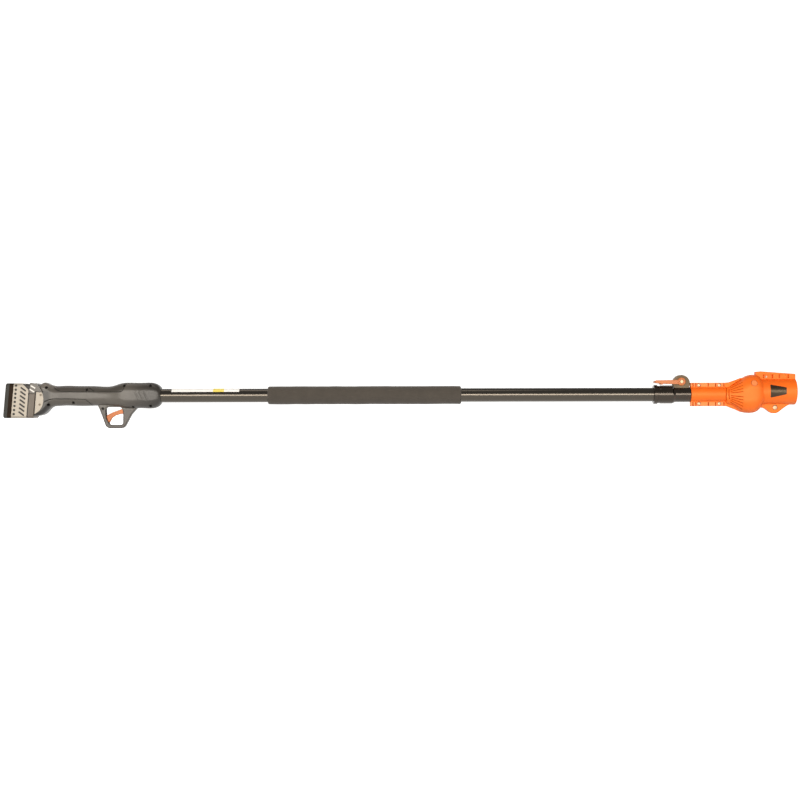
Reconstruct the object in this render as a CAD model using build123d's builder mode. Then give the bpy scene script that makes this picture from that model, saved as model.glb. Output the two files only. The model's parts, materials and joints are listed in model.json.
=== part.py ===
from build123d import *
import os
from math import cos, radians, sin, tan

# Battery-powered telescoping pole with a trigger handle and an empty clamshell tool head.
# +X runs along the pole and out of the tool socket, +Z points to the clamp lever's side.
# The origin is the centre of the socket's mouth. All sizes are in millimetres.

# Pole
outer_tube_r = 16.0
outer_tube_bore_r = 14.5
inner_tube_r = 14.0
inner_tube_bore_r = 12.5
pole_drop = 6.0  # pole axis below the socket axis
running_gap = 0.08
key_width = 4.0
key_depth = 0.7

# Stations along X
head_back = -240.0
collar_front = -241.5
collar_shoulder = -284.0
collar_back = -325.0
foam_front = -767.0
foam_back = -1211.0
handle_front = -1456.0
handle_length = 284.0
inner_tube_front = -152.0
inner_tube_back = -1190.0

# Handle
tube_seat = 48.0  # how far the outer tube goes into the handle
handle_wall = 3.2
guard_half_width = 9.0
trigger_pivot = (-76.0, -34.0)
trigger_half_width = 5.5
trigger_room_half = 6.2

# Battery
battery_tilt = radians(5.0)
battery_height = 80.0
battery_half_width = 30.0
battery_centre = -11.0  # below the pole axis
band_back = -51.0
band_front = -16.4
battery_back = -70.0
foot_plate_y = 26.0

# Tool head
socket_r = 26.0
socket_depth = 62.0
barrel_r = 30.0
sleeve_r = 17.5
flange_half_width = 6.5

# Clamp
lever_pivot = (-262.3, 29.6)
ear_centre = (-261.6, 25.2)
ear_r = 19.5
ear_inner = 1.5
ear_outer = 9.0

hands = (("right", 1), ("left", -1))
big = 60.0  # reach of a cut that has to leave the piece

os.makedirs("parts", exist_ok=True)

# Sketch planes on the object's middle: local x runs along +X and local y up from the pole axis
side = Plane(origin=(0, 0, -pole_drop), x_dir=(1, 0, 0), z_dir=(0, -1, 0))
handle_side = Plane(origin=(handle_front, 0, -pole_drop), x_dir=(1, 0, 0), z_dir=(0, -1, 0))
battery_side = Plane(
    origin=(handle_front - handle_length, 0, battery_centre - pole_drop),
    x_dir=(cos(battery_tilt), 0, -sin(battery_tilt)),
    z_dir=(0, -1, 0),
)


def across(x, height=0.0, lean=0.0):
    """Plane square to the pole at station x, height above its axis, leaning by an angle."""
    return Plane(
        origin=(x, 0, height - pole_drop),
        x_dir=(0, 1, 0),
        z_dir=(cos(lean), 0, -sin(lean)),
    )


def save(piece, name):
    """Label a finished piece and write its file."""
    piece.part.label = name
    export_step(piece.part, f"parts/{name}.step")


def tube(x_from, x_to, outer_r, inner_r=0.0, height=0.0, mode=Mode.ADD):
    """Round bar or tube along X between two stations."""
    with BuildSketch(across(x_from, height)) as section:
        Circle(outer_r)
        if inner_r:
            Circle(inner_r, mode=Mode.SUBTRACT)
    extrude(section.sketch, amount=x_to - x_from, mode=mode)


def bars(plane, points, radius, y_from, y_to, mode=Mode.ADD):
    """Round bars along Y between two depths, one at each point of a side plane."""
    with BuildSketch(plane.offset(-y_to)) as section:
        with Locations(*points):
            Circle(radius)
    extrude(section.sketch, amount=y_to - y_from, mode=mode)


def slab(plane, points, y_from, y_to, corner=0.0, mode=Mode.ADD):
    """Plate along Y between two depths, with an outline on a side plane."""
    with BuildSketch(plane.offset(-y_to)) as section:
        with BuildLine():
            Polyline(*points, close=True)
        make_face()
        if corner:
            fillet(section.vertices(), corner)
    extrude(section.sketch, amount=y_to - y_from, mode=mode)


def block(plane, x_from, x_to, low, high, y_from, y_to, corner=0.0, mode=Mode.ADD):
    """Box with its sides along a side plane's axes."""
    outline = ((x_from, low), (x_to, low), (x_to, high), (x_from, high))
    slab(plane, outline, y_from, y_to, corner, mode)


def rims(piece, half_width):
    """Edges of a piece that lie on its two outer faces."""
    return piece.edges().filter_by(lambda edge: abs(abs(edge.center().Y) - half_width) < 0.01)


def rounded_slab(plane, points, half_width, corner, edge):
    """Plate across the middle with rounded corners and rims."""
    with BuildPart() as body:
        slab(plane, points, -half_width, half_width, corner)
        fillet(rims(body, half_width), edge)
    return body.part


def rounded_loft(stations, inset=0.0):
    """Smooth body through sections: station, top, bottom, half width, roundness and lean."""
    sections = []
    for x, top, bottom, half_width, roundness, lean in stations:
        height = top - bottom - 2 * inset
        width = 2 * (half_width - inset)
        with BuildSketch(across(x, (top + bottom) / 2, lean)) as section:
            RectangleRounded(width, height, roundness * min(width, height) / 2)
        sections.append(section.sketch)
    with BuildPart() as body:
        loft(sections)
    return body.part


def both_sides(near, far):
    """The same range of depths on each side of the middle."""
    return ((-far, -near), (near, far))


# Outer tube
with BuildPart() as outer_tube:
    tube(handle_front - tube_seat, collar_shoulder - 0.5, outer_tube_r, outer_tube_bore_r)
save(outer_tube, "outer_tube")

# Foam grip round the tube
foam_r = 21.2
foam_round = 4.0
with BuildPart() as foam_grip:
    tube(foam_back, foam_front, foam_r, outer_tube_r)
    fillet(foam_grip.edges().filter_by(GeomType.CIRCLE).group_by(SortBy.RADIUS)[-1], foam_round)
save(foam_grip, "foam_grip")

# Inner tube, with a shallow keyway underneath that stops it from turning
with BuildPart() as inner_tube:
    tube(inner_tube_back, inner_tube_front, inner_tube_r, inner_tube_bore_r)
    with BuildSketch(across(inner_tube_back, -inner_tube_r)):
        Rectangle(key_width, 2 * key_depth)
    extrude(amount=collar_front - inner_tube_back, mode=Mode.SUBTRACT)
save(inner_tube, "inner_tube")

# Tail bush that guides the inner tube in the outer one
tail_flange = 16.0
tail_spigot = 22.0
lead_hole_r = 2.5
tail_back = inner_tube_back - tail_flange
tail_front = inner_tube_back + tail_spigot
with BuildPart() as tail_bush:
    tube(tail_back, inner_tube_back, outer_tube_bore_r - running_gap)
    tube(inner_tube_back, tail_front, inner_tube_bore_r)
    tube(tail_back, tail_front, lead_hole_r, mode=Mode.SUBTRACT)
save(tail_bush, "tail_bush")

# Plug in the back of the outer tube that anchors the power cable
plug_length = 30.0
plug_back = handle_front - tube_seat
plug_front = plug_back + plug_length
with BuildPart() as tube_plug:
    tube(plug_back, plug_front, outer_tube_bore_r, lead_hole_r)
save(tube_plug, "tube_plug")

# Curly power cable in the outer tube, as one sleeve of its outer diameter
curl_outer_r = 13.2
curl_inner_r = 8.0
curl_end_gap = 0.5
with BuildPart() as coil_cable:
    tube(plug_front + curl_end_gap, tail_back - curl_end_gap, curl_outer_r, curl_inner_r)
save(coil_cable, "coil_cable")

# Handle body: top and bottom follow the side view, and the sections go from a square foot to a round grip
handle_outline = (
    (-284.0, 19.5, -46.5, 27.4, 0.30, battery_tilt),
    (-277.5, 21.0, -45.3, 27.4, 0.34, 0.0),
    (-272.5, 26.6, -44.1, 27.4, 0.42, 0.0),
    (-266.5, 30.4, -41.4, 27.0, 0.52, 0.0),
    (-256.0, 28.4, -32.0, 24.8, 0.70, 0.0),
    (-245.0, 23.8, -24.6, 21.6, 0.88, 0.0),
    (-230.0, 23.1, -23.2, 20.2, 0.92, 0.0),
    (-195.0, 23.1, -23.2, 20.0, 0.92, 0.0),
    (-160.0, 22.8, -23.2, 20.0, 0.92, 0.0),
    (-132.0, 21.4, -23.0, 20.6, 0.92, 0.0),
    (-114.0, 22.2, -24.2, 21.8, 0.90, 0.0),
    (-98.0, 26.8, -25.8, 24.4, 0.86, 0.0),
    (-84.0, 29.8, -28.4, 25.8, 0.82, 0.0),
    (-66.0, 30.2, -29.4, 26.0, 0.80, 0.0),
    (-30.0, 30.2, -29.5, 26.0, 0.80, 0.0),
    (-13.0, 28.6, -28.0, 24.6, 0.84, 0.0),
    (-4.0, 24.0, -23.4, 21.6, 0.90, 0.0),
    (0.0, 20.0, -19.2, 18.6, 0.95, 0.0),
)
handle_stations = [(handle_front + u, *section) for u, *section in handle_outline]
handle_body = rounded_loft(handle_stations)
handle_inside = rounded_loft(handle_stations[4:-3], inset=handle_wall)

# Guard loop round the trigger
guard_outline = (
    (-149.0, -14.0),
    (-140.5, -32.0),
    (-125.0, -74.5),
    (-84.5, -74.5),
    (-67.0, -42.5),
    (-55.0, -29.0),
    (-45.0, -14.0),
)
finger_gap = (
    (-127.0, -26.0),
    (-91.5, -26.0),
    (-87.0, -36.0),
    (-87.0, -67.0),
    (-117.5, -67.0),
    (-125.6, -50.0),
)
guard_corner = 12.0
gap_corner = 6.0
guard_edge = 2.6
with BuildPart() as guard:
    with BuildSketch(handle_side):
        with BuildLine():
            Polyline(*guard_outline, close=True)
        outline = make_face()
        fillet(outline.vertices().sort_by(Axis.Y)[:-2], guard_corner)
    extrude(amount=guard_half_width, both=True)
    with BuildSketch(handle_side):
        with BuildLine():
            Polyline(*finger_gap, close=True)
        gap = make_face()
        fillet(gap.vertices(), gap_corner)
    extrude(amount=big, both=True, mode=Mode.SUBTRACT)
    fillet(rims(guard, guard_half_width), guard_edge)

# Hollows in the handle: room for the trigger in both pillars, the nose for the tube's bush,
# the socket for the battery's plug and a slot for the leads behind it
trigger_room = ((-94.0, -18.0), (-66.0, -18.0), (-66.0, -36.0), (-74.5, -46.0), (-94.0, -46.0))
trigger_slot = ((-122.0, -30.0), (-131.0, -30.0), (-129.3, -50.0), (-122.8, -64.5), (-112.0, -64.5))
gap_roof = (-132.0, -84.0, -32.0, -22.6)
screw_points = (
    (-259.2, 18.6),
    (-254.6, -20.5),
    (-199.0, -15.8),
    (-167.7, 13.6),
    (-81.6, 22.6),
    (-21.6, 22.4),
    (-133.0, -29.7),
    (-62.1, -26.4),
    (-21.6, -23.4),
)
screw_seat = 5.0
screw_head_r = 3.1
screw_head_t = 2.0
screw_shank_r = 1.4
screw_tip = 7.4
boss_r = 4.8
nose_sleeve_r = 22.5
nose_lip = 8.0
bush_r = 19.0
tube_clear = 0.1
socket_length = 25.0
socket_low, socket_high, socket_half = -15.0, 17.0, 16.0
lead_slot = (-262.0, -254.0, -4.0, 2.4)
lead_slot_half = 9.0
pin_r = 2.0
pin_reach = 8.0

with BuildPart() as handle_cavity:
    add(handle_inside)
    bars(handle_side, screw_points, boss_r, -big, big, Mode.SUBTRACT)
    tube(plug_back - 2, handle_front, nose_sleeve_r, mode=Mode.SUBTRACT)
    block(handle_side, *gap_roof, -big, big, mode=Mode.SUBTRACT)

with BuildPart() as handle_hollow:
    add(handle_body)
    add(guard.part)
    add(handle_cavity.part, mode=Mode.SUBTRACT)
    tube(plug_back - 3, handle_front - nose_lip, bush_r, mode=Mode.SUBTRACT)
    tube(handle_front - nose_lip - 1, handle_front + 1, outer_tube_r + tube_clear, mode=Mode.SUBTRACT)
    slab(handle_side, trigger_room, -trigger_room_half, trigger_room_half, mode=Mode.SUBTRACT)
    slab(handle_side, trigger_slot, -trigger_room_half, trigger_room_half, mode=Mode.SUBTRACT)
    bars(handle_side, [trigger_pivot], pin_r, -pin_reach, pin_reach, Mode.SUBTRACT)
    block(
        battery_side,
        -2,
        socket_length,
        socket_low,
        socket_high,
        -socket_half,
        socket_half,
        mode=Mode.SUBTRACT,
    )
    block(handle_side, *lead_slot, -lead_slot_half, lead_slot_half, mode=Mode.SUBTRACT)

# Handle shells, with seats for the foot plates and latches, and the nine screws that hold them together
foot_plate_bow = ((14.0, 20.0), (18.0, 6.0), (15.2, -15.0), (1.0, -30.0))
foot_plate_corner = (1.0, 20.0)
foot_plate_t = 1.2
foot_screw_points = ((11.4, 14.0), (11.0, -8.0))
foot_screw_r = 1.7
foot_screw_head_r = 2.6
foot_screw_head_t = 0.8
foot_screw_length = 6.0
latch_inner = 21.0
latch_seat = ((-4.0, 20.2), (17.2, 20.2), (9.8, 31.8), (-4.0, 44.0))


def foot_plate_face(plane):
    """D-shaped face of a foot plate, straight on the battery's side."""
    with BuildSketch(plane) as face:
        with BuildLine():
            Polyline(foot_plate_bow[-1], foot_plate_corner, foot_plate_bow[0])
            Spline(*foot_plate_bow)
        make_face()
    return face.sketch


for hand, sign in hands:
    half = Keep.TOP if sign > 0 else Keep.BOTTOM
    plate_plane = battery_side.offset(sign * foot_plate_y)
    with BuildPart() as handle_shell:
        add(handle_hollow.part)
        split(bisect_by=Plane.XZ, keep=half)
        extrude(foot_plate_face(plate_plane), amount=sign * big, mode=Mode.SUBTRACT)
        with BuildSketch(plate_plane):
            with Locations(*foot_screw_points):
                Circle(foot_screw_r)
        extrude(amount=-sign * foot_screw_length, mode=Mode.SUBTRACT)
        with BuildSketch(battery_side.offset(sign * latch_inner)):
            with BuildLine():
                Polyline(*latch_seat, close=True)
            make_face()
        extrude(amount=sign * big, mode=Mode.SUBTRACT)
        if sign > 0:
            bars(handle_side, screw_points, screw_head_r + 0.15, -big, -screw_seat, Mode.SUBTRACT)
            bars(handle_side, screw_points, screw_shank_r + 0.3, -screw_seat - 1, 0, Mode.SUBTRACT)
        else:
            bars(handle_side, screw_points, screw_shank_r + 0.1, 0, screw_tip + 0.4, Mode.SUBTRACT)
    save(handle_shell, f"handle_shell_{hand}")

    with BuildPart() as foot_plate:
        extrude(foot_plate_face(plate_plane), amount=sign * foot_plate_t)
        with BuildSketch(plate_plane):
            with Locations(*foot_screw_points):
                Circle(foot_screw_r)
        extrude(amount=sign * foot_plate_t, mode=Mode.SUBTRACT)
    save(foot_plate, f"foot_plate_{hand}")

with BuildPart() as handle_screws:
    bars(handle_side, screw_points, screw_head_r, -screw_seat - screw_head_t, -screw_seat)
    bars(handle_side, screw_points, screw_shank_r, -screw_seat, screw_tip)
save(handle_screws, "handle_screws")

with BuildPart() as foot_plate_screws:
    for hand, sign in hands:
        outer_face = battery_side.offset(sign * (foot_plate_y + foot_plate_t))
        with BuildSketch(outer_face):
            with Locations(*foot_screw_points):
                Circle(foot_screw_head_r)
        extrude(amount=sign * foot_screw_head_t)
        with BuildSketch(outer_face):
            with Locations(*foot_screw_points):
                Circle(foot_screw_r - 0.1)
        extrude(amount=-sign * foot_screw_length)
save(foot_plate_screws, "foot_plate_screws")

# Bush that holds the outer tube in the handle's nose
with BuildPart() as pole_bush:
    tube(plug_back + 1, handle_front - nose_lip - 0.1, bush_r, outer_tube_r)
save(pole_bush, "pole_bush")

# Trigger: a hooked blade on a hub, with an arm that reaches up to the switch
blade = (
    (-80.0, -29.5),
    (-92.0, -31.2),
    (-112.0, -38.5),
    (-124.6, -45.0),
    (-125.4, -49.0),
    (-122.2, -60.2),
    (-118.6, -61.2),
    (-113.0, -51.0),
    (-105.0, -45.6),
    (-94.0, -42.0),
    (-78.0, -40.5),
)
hub_r = 5.6
hub_spring_side = 2.0
spring_room_r = 12.0
arm_low, arm_high = -34.0, -15.0
arm_back, arm_front = -79.0, -73.0
blade_round = 1.6
blade_edge = 1.4
with BuildPart() as trigger:
    slab(handle_side, blade, -trigger_half_width, trigger_half_width)
    fillet(
        trigger.edges().filter_by(Axis.Y).filter_by(lambda edge: edge.center().X < handle_front - 84),
        blade_round,
    )
    fillet(
        rims(trigger, trigger_half_width).filter_by(lambda edge: edge.center().X < handle_front - 79),
        blade_edge,
    )
    bars(handle_side, [trigger_pivot], hub_r, -trigger_half_width, trigger_half_width)
    block(handle_side, arm_back, arm_front, arm_low, arm_high, -4, hub_spring_side - 0.2)
    bars(handle_side, [trigger_pivot], spring_room_r, hub_spring_side, big, Mode.SUBTRACT)
    bars(handle_side, [trigger_pivot], pin_r + running_gap, -big, big, Mode.SUBTRACT)
save(trigger, "trigger")

with BuildPart() as trigger_pin:
    bars(handle_side, [trigger_pivot], pin_r, -pin_reach, pin_reach)
save(trigger_pin, "trigger_pin")


def coil_spring(centre, direction, pitch, height, turn_r, wire_r):
    """Wire wound in a helix along a direction from a centre."""
    with BuildLine() as turns:
        Helix(pitch, height, turn_r, center=centre, direction=direction)
    with BuildSketch(Plane(origin=turns.line @ 0, z_dir=turns.line % 0)) as wire:
        Circle(wire_r)
    sweep(wire.sketch, path=turns.line, is_frenet=True)


# Return spring coiled round the trigger's pin
with BuildPart() as trigger_spring:
    coil_spring(
        centre=(handle_front + trigger_pivot[0], hub_spring_side + 0.6, trigger_pivot[1] - pole_drop),
        direction=(0, 1, 0),
        pitch=1.0,
        height=3.0,
        turn_r=3.6,
        wire_r=0.4,
    )
save(trigger_spring, "trigger_spring")

# Switch in front of the trigger's arm, and the plunger that the arm pushes
switch_back, switch_front = -66.5, -52.0
switch_low, switch_high = -21.2, -4.0
switch_half = 8.0
plunger_r = 2.0
plunger_height = -18.0
plunger_depth = 3.5
plunger_hole = 8.0
with BuildPart() as trigger_switch:
    block(
        handle_side,
        switch_back,
        switch_front,
        switch_low,
        switch_high,
        -switch_half,
        switch_half,
        corner=1.0,
    )
    tube(
        handle_front + switch_back - 1,
        handle_front + switch_back + plunger_hole,
        plunger_r + running_gap,
        height=plunger_height,
        mode=Mode.SUBTRACT,
    )
save(trigger_switch, "trigger_switch")

with BuildPart() as switch_plunger:
    tube(
        handle_front + arm_front + 0.6,
        handle_front + switch_back + plunger_depth,
        plunger_r,
        height=plunger_height,
    )
save(switch_plunger, "switch_plunger")

# Control board with its parts, flat along the grip
board_back, board_front = -232.0, -140.0
board_half = 13.0
board_t = 1.6
board_parts = (
    (-228, -216, 6.5, 8),
    (-208, -190, 3.0, 6),
    (-184, -178, 5.0, 9),
    (-160, -148, 4.0, 7),
)
with BuildPart() as control_board:
    block(handle_side, board_back, board_front, -board_t, 0.0, -board_half, board_half)
    for x_from, x_to, height, half_width in board_parts:
        block(handle_side, x_from, x_to, 0.0, height, -half_width, half_width)
save(control_board, "control_board")

# Lead from the board, over the switch, to the plug in the tube
lead_r = 2.3
lead_route = ((-139.5, 2.5), (-122, 2.5), (-100, 10), (-78, 10), (-60, 0), (-48.5, 0))
lead_bend = 12.0
with BuildPart() as board_lead:
    with BuildLine(handle_side) as lead_line:
        FilletPolyline(*lead_route, radius=lead_bend)
    with BuildSketch(Plane(origin=lead_line.line @ 0, z_dir=lead_line.line % 0)):
        Circle(lead_r)
    sweep()
save(board_lead, "board_lead")

# Contact block and blades that meet the battery's plug, and the two leads to the board
blade_rows = (-9.0, 0.0, 9.0)
blade_t = 1.0
contact_back, contact_front = 20.8, 24.8
contact_half = 13.0
battery_lead_r = 1.2
battery_lead_y = 5.0
battery_lead_back = -258.0
with BuildPart() as contact_block:
    block(battery_side, contact_back, contact_front, -9, 16, -contact_half, contact_half, corner=0.8)
save(contact_block, "contact_block")

with BuildPart() as contact_blades:
    for y in blade_rows:
        block(battery_side, 9, contact_back, -6, 8, y - blade_t / 2, y + blade_t / 2)
save(contact_blades, "contact_blades")

with BuildPart() as battery_leads:
    with BuildSketch(across(handle_front + battery_lead_back, -board_t / 2)):
        with Locations((-battery_lead_y, 0), (battery_lead_y, 0)):
            Circle(battery_lead_r)
    extrude(amount=board_back - battery_lead_back)
save(battery_leads, "battery_leads")

# Battery case: a full-size front and a smaller core that carries the band and the end cap
half_height = battery_height / 2
core_gap = 1.6
core_half = battery_half_width - core_gap
core_top = half_height - core_gap
core_back = battery_back + 2.0
core_wall = 2.4
case_back = band_front + 2.6  # a groove is left between the band and the case
case_front = -0.8
case_corner = 6.0
case_round = 3.0
core_corner = case_corner - core_gap
hollow_front = -4.5
latch_back = -15.6
latch_low = 15.0
latch_travel = 3.0


def battery_section(p, half_width, top, corner):
    """Rounded section of the battery, leaning as its mating face does."""
    plane = Plane(
        origin=battery_side.origin + Vector(p / cos(battery_tilt), 0, 0),
        x_dir=(0, 1, 0),
        z_dir=(cos(battery_tilt), 0, -sin(battery_tilt)),
    )
    with BuildSketch(plane) as section:
        RectangleRounded(2 * half_width, 2 * top, corner)
    return section.sketch


def battery_block(p_from, p_to, half_width, top, corner, mode=Mode.ADD):
    """Rounded block along X between two leaning sections."""
    section = battery_section(p_from, half_width, top, corner)
    extrude(section, amount=(p_to - p_from) / cos(battery_tilt), dir=(1, 0, 0), mode=mode)


with BuildPart() as battery_case:
    battery_block(case_back, case_front, battery_half_width, half_height, case_corner)
    fillet(battery_case.faces().sort_by(Axis.X)[-1].edges(), case_round)
    battery_block(core_back, case_back + 1, core_half, core_top, core_corner)
    battery_block(
        core_back + core_wall,
        hollow_front,
        core_half - core_wall,
        core_top - core_wall,
        core_corner - core_wall,
        Mode.SUBTRACT,
    )
    for y_from, y_to in both_sides(latch_inner, big):
        block(battery_side, latch_back, big, latch_low, big, y_from, y_to, mode=Mode.SUBTRACT)
    for y_from, y_to in both_sides(latch_inner - core_wall, latch_inner):
        block(battery_side, latch_back, case_front - 2, latch_low - 2, 34, y_from, y_to)
save(battery_case, "battery_case")

# Silver band with its round holes and slanted slots
hole_column = -45.5
slot_column = -28.5
vent_rows = 8
vent_pitch = 9.3
hole_r = 2.9
hole_shift = -2.0
slot_length = 15.6
slot_width = 4.2
slot_angle = -31
slot_shift = 0.5
band_corner_cut = ((-39.2, 42), (-10, 42), (-10, 18))
skin_gap = 0.05
with BuildPart() as vent_band:
    battery_block(band_back, band_front, battery_half_width, half_height, case_corner)
    battery_block(
        band_back - 1,
        band_front + 1,
        core_half + skin_gap,
        core_top + skin_gap,
        core_corner,
        Mode.SUBTRACT,
    )
    slab(battery_side, band_corner_cut, -big, big, mode=Mode.SUBTRACT)
    with BuildSketch(battery_side):
        for row in range(vent_rows):
            height = (row - (vent_rows - 1) / 2) * vent_pitch
            with Locations((hole_column, height + hole_shift)):
                Circle(hole_r)
            if row < vent_rows - 1:
                with Locations((slot_column, height + slot_shift)):
                    SlotOverall(slot_length, slot_width, rotation=slot_angle)
    extrude(amount=big, both=True, mode=Mode.SUBTRACT)
save(vent_band, "vent_band")

# Black end cap
cap_round = 4.0
with BuildPart() as battery_end_cap:
    battery_block(battery_back, band_back - 0.3, battery_half_width, half_height, case_corner)
    fillet(battery_end_cap.faces().sort_by(Axis.X)[0].edges(), cap_round)
    battery_block(
        core_back - 0.1,
        0,
        core_half + skin_gap,
        core_top + skin_gap,
        core_corner,
        Mode.SUBTRACT,
    )
save(battery_end_cap, "battery_end_cap")

# Six cells standing in two rows
cell_r = 9.1
cell_length = 65.0
cell_pitch = 18.5
cell_middle = -34.0
cell_low = cell_middle * tan(battery_tilt) - cell_length / 2
cell_foot = Plane(
    origin=battery_side.from_local_coords((cell_middle, cell_low, 0)),
    x_dir=(0, 1, 0),
    z_dir=(sin(battery_tilt), 0, cos(battery_tilt)),
)
with BuildPart() as battery_cells:
    with BuildSketch(cell_foot):
        with GridLocations(cell_pitch, cell_pitch, 2, 3):
            Circle(cell_r)
    extrude(amount=cell_length)
save(battery_cells, "battery_cells")

# Plug that enters the handle's foot, slotted for the blades
plug_reach = 20.0
plug_low, plug_high, plug_half = -14.0, 16.0, 15.0
plug_round = 1.5
blade_slot_half = 1.2
terminal_back, terminal_front = 5.0, 8.0
with BuildPart() as battery_plug:
    block(battery_side, case_front, plug_reach, plug_low, plug_high, -plug_half, plug_half)
    fillet(battery_plug.faces().sort_by(Axis.X)[-1].edges(), plug_round)
    for y in blade_rows:
        block(
            battery_side,
            terminal_back,
            big,
            -8,
            10,
            y - blade_slot_half,
            y + blade_slot_half,
            mode=Mode.SUBTRACT,
        )
save(battery_plug, "battery_plug")

with BuildPart() as battery_terminals:
    for y in blade_rows:
        block(battery_side, terminal_back, terminal_front, -6, 8, y - blade_slot_half, y + blade_slot_half)
save(battery_terminals, "battery_terminals")

# Latch buttons, each with two slanted ridges and a spring behind it
latch_clear = 0.5
latch_face = 30.4
latch_floor = latch_inner + latch_travel + 0.6
latch_outline = (
    (latch_back + latch_clear, latch_low + latch_clear),
    (case_front, latch_low + latch_clear),
    (case_front, 20.8),
    (16.0, 20.8),
    (9.0, 31.0),
    (2.0, 36.4),
    (-6.0, 39.6),
    (latch_back + latch_clear, 39.6),
)
latch_corner = 2.0
latch_edge = 1.6
ridge_points = ((-6.5, 30.8), (-8.2, 22.4))
ridge_length = 12.4
ridge_width = 3.0
ridge_angle = -25
ridge_proud = 1.0
spring_point = (-9.0, 25.0)
for hand, sign in hands:
    with BuildPart() as latch_button:
        with BuildSketch(battery_side.offset(sign * latch_floor)):
            with BuildLine():
                Polyline(*latch_outline, close=True)
            button_face = make_face()
            fillet(button_face.vertices(), latch_corner)
        extrude(amount=sign * (latch_face - latch_floor))
        fillet(latch_button.faces().sort_by(Axis.Y)[0 if sign > 0 else -1].edges(), latch_edge)
        with BuildSketch(battery_side.offset(sign * (latch_face - 0.4))):
            with Locations(*ridge_points):
                SlotOverall(ridge_length, ridge_width, rotation=ridge_angle)
        extrude(amount=sign * (ridge_proud + 0.4))
    save(latch_button, f"latch_button_{hand}")

    with BuildPart() as latch_spring:
        coil_spring(
            centre=battery_side.from_local_coords((*spring_point, sign * (latch_inner + 0.45))),
            direction=(0, -sign, 0),
            pitch=1.05,
            height=2.6,
            turn_r=3.0,
            wire_r=0.35,
        )
    save(latch_spring, f"latch_spring_{hand}")

# Clamp collar: a wide back on the outer tube, a split neck on the inner one, and two ears
collar_r = 20.9
collar_flange_r = 21.9
collar_groove_r = 20.0
collar_neck_r = 17.5
neck_bore_r = 15.1
collar_profile = (
    (collar_back, outer_tube_r),
    (collar_back, collar_flange_r - 0.6),
    (collar_back + 0.8, collar_flange_r),
    (collar_back + 8.0, collar_flange_r),
    (collar_back + 8.6, collar_groove_r),
    (collar_back + 14.0, collar_groove_r),
    (collar_back + 16.0, collar_r),
    (collar_shoulder + 1.5, collar_r),
    (collar_shoulder + 9.0, collar_neck_r),
    (collar_front, collar_neck_r),
    (collar_front, neck_bore_r),
    (collar_shoulder, neck_bore_r),
    (collar_shoulder, outer_tube_r),
)
ear_low = 10.0
ear_edge = 1.0
slit_back = -282.8
slit_width = 2.6
slit_low = 1.7
lever_pin_r = 3.0
with BuildPart() as ears:
    with BuildSketch(side):
        with Locations(ear_centre):
            Circle(ear_r)
        with Locations((ear_centre[0], ear_low - big)):
            Rectangle(2 * big, 2 * big, mode=Mode.SUBTRACT)
    extrude(amount=ear_outer, both=True)
    fillet(rims(ears, ear_outer), ear_edge)

with BuildPart() as clamp_collar:
    with BuildSketch(side):
        with BuildLine():
            Polyline(*collar_profile, close=True)
        make_face()
    revolve(axis=Axis((0, 0, -pole_drop), (1, 0, 0)))
    add(ears.part)
    tube(collar_shoulder, collar_front + 1, neck_bore_r, mode=Mode.SUBTRACT)
    block(side, slit_back, collar_front + 1, 0, big, -ear_inner, ear_inner, mode=Mode.SUBTRACT)
    block(side, slit_back, slit_back + slit_width, slit_low, big, -big, big, mode=Mode.SUBTRACT)
    bars(side, [lever_pivot], lever_pin_r + 0.1, -big, big, Mode.SUBTRACT)
save(clamp_collar, "clamp_collar")

# Bush in the neck, with the key that rides in the inner tube's keyway
bush_back = collar_shoulder + 4.0
with BuildPart() as collar_bush:
    tube(bush_back, collar_front, neck_bore_r, inner_tube_r + running_gap)
    with BuildSketch(across(bush_back, -inner_tube_r)):
        Rectangle(key_width - 0.4, 2 * key_depth - 0.5)
    extrude(amount=collar_front - bush_back)
save(collar_bush, "collar_bush")

# Cam lever: two arms outside the ears, joined by a thumb bar
lever_inner = 9.8
lever_outer = 14.0
lever_eye_r = 9.2
lever_edge = 0.8
lever_tip = -322.8
thumb_bar_front = -311.0
arm_outline = (
    (lever_pivot[0], lever_pivot[1] + 5.0),
    (lever_pivot[0] - 10, 33.4),
    (lever_tip + 3, 32.6),
    (lever_tip, 30.6),
    (lever_tip, 26.8),
    (lever_tip + 3, 26.0),
    (-309.4, 25.2),
    (-308.2, 22.6),
    (-305.2, 22.6),
    (-304.0, 24.8),
    (lever_pivot[0] - 8, 23.4),
    (lever_pivot[0], lever_pivot[1] - 5.0),
)
with BuildPart() as cam_lever:
    slab(side, arm_outline, -lever_outer, lever_outer)
    bars(side, [lever_pivot], lever_eye_r, -lever_outer, lever_outer)
    block(side, thumb_bar_front, 0, 0, big, -lever_inner, lever_inner, mode=Mode.SUBTRACT)
    bars(side, [lever_pivot], lever_pin_r + 0.3, -big, big, Mode.SUBTRACT)
    fillet(rims(cam_lever, lever_outer), lever_edge)
save(cam_lever, "cam_lever")

washer_r = 6.2
with BuildPart() as thrust_washers:
    for y_from, y_to in both_sides(ear_outer + 0.02, lever_inner - 0.3):
        bars(side, [lever_pivot], washer_r, y_from, y_to)
    bars(side, [lever_pivot], lever_pin_r + 0.1, -big, big, Mode.SUBTRACT)
save(thrust_washers, "thrust_washers")

pin_head_r = 4.2
pin_head_t = 2.0
pin_play = 0.4
nut_t = 3.6
nut_r = 5.6
with BuildPart() as lever_pin:
    bars(side, [lever_pivot], lever_pin_r, -lever_outer - pin_play, lever_outer + nut_t)
    bars(side, [lever_pivot], pin_head_r, -lever_outer - pin_play - pin_head_t, -lever_outer - pin_play)
    fillet(lever_pin.faces().sort_by(Axis.Y)[0].edges(), 1.2)
save(lever_pin, "lever_pin")

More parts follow.
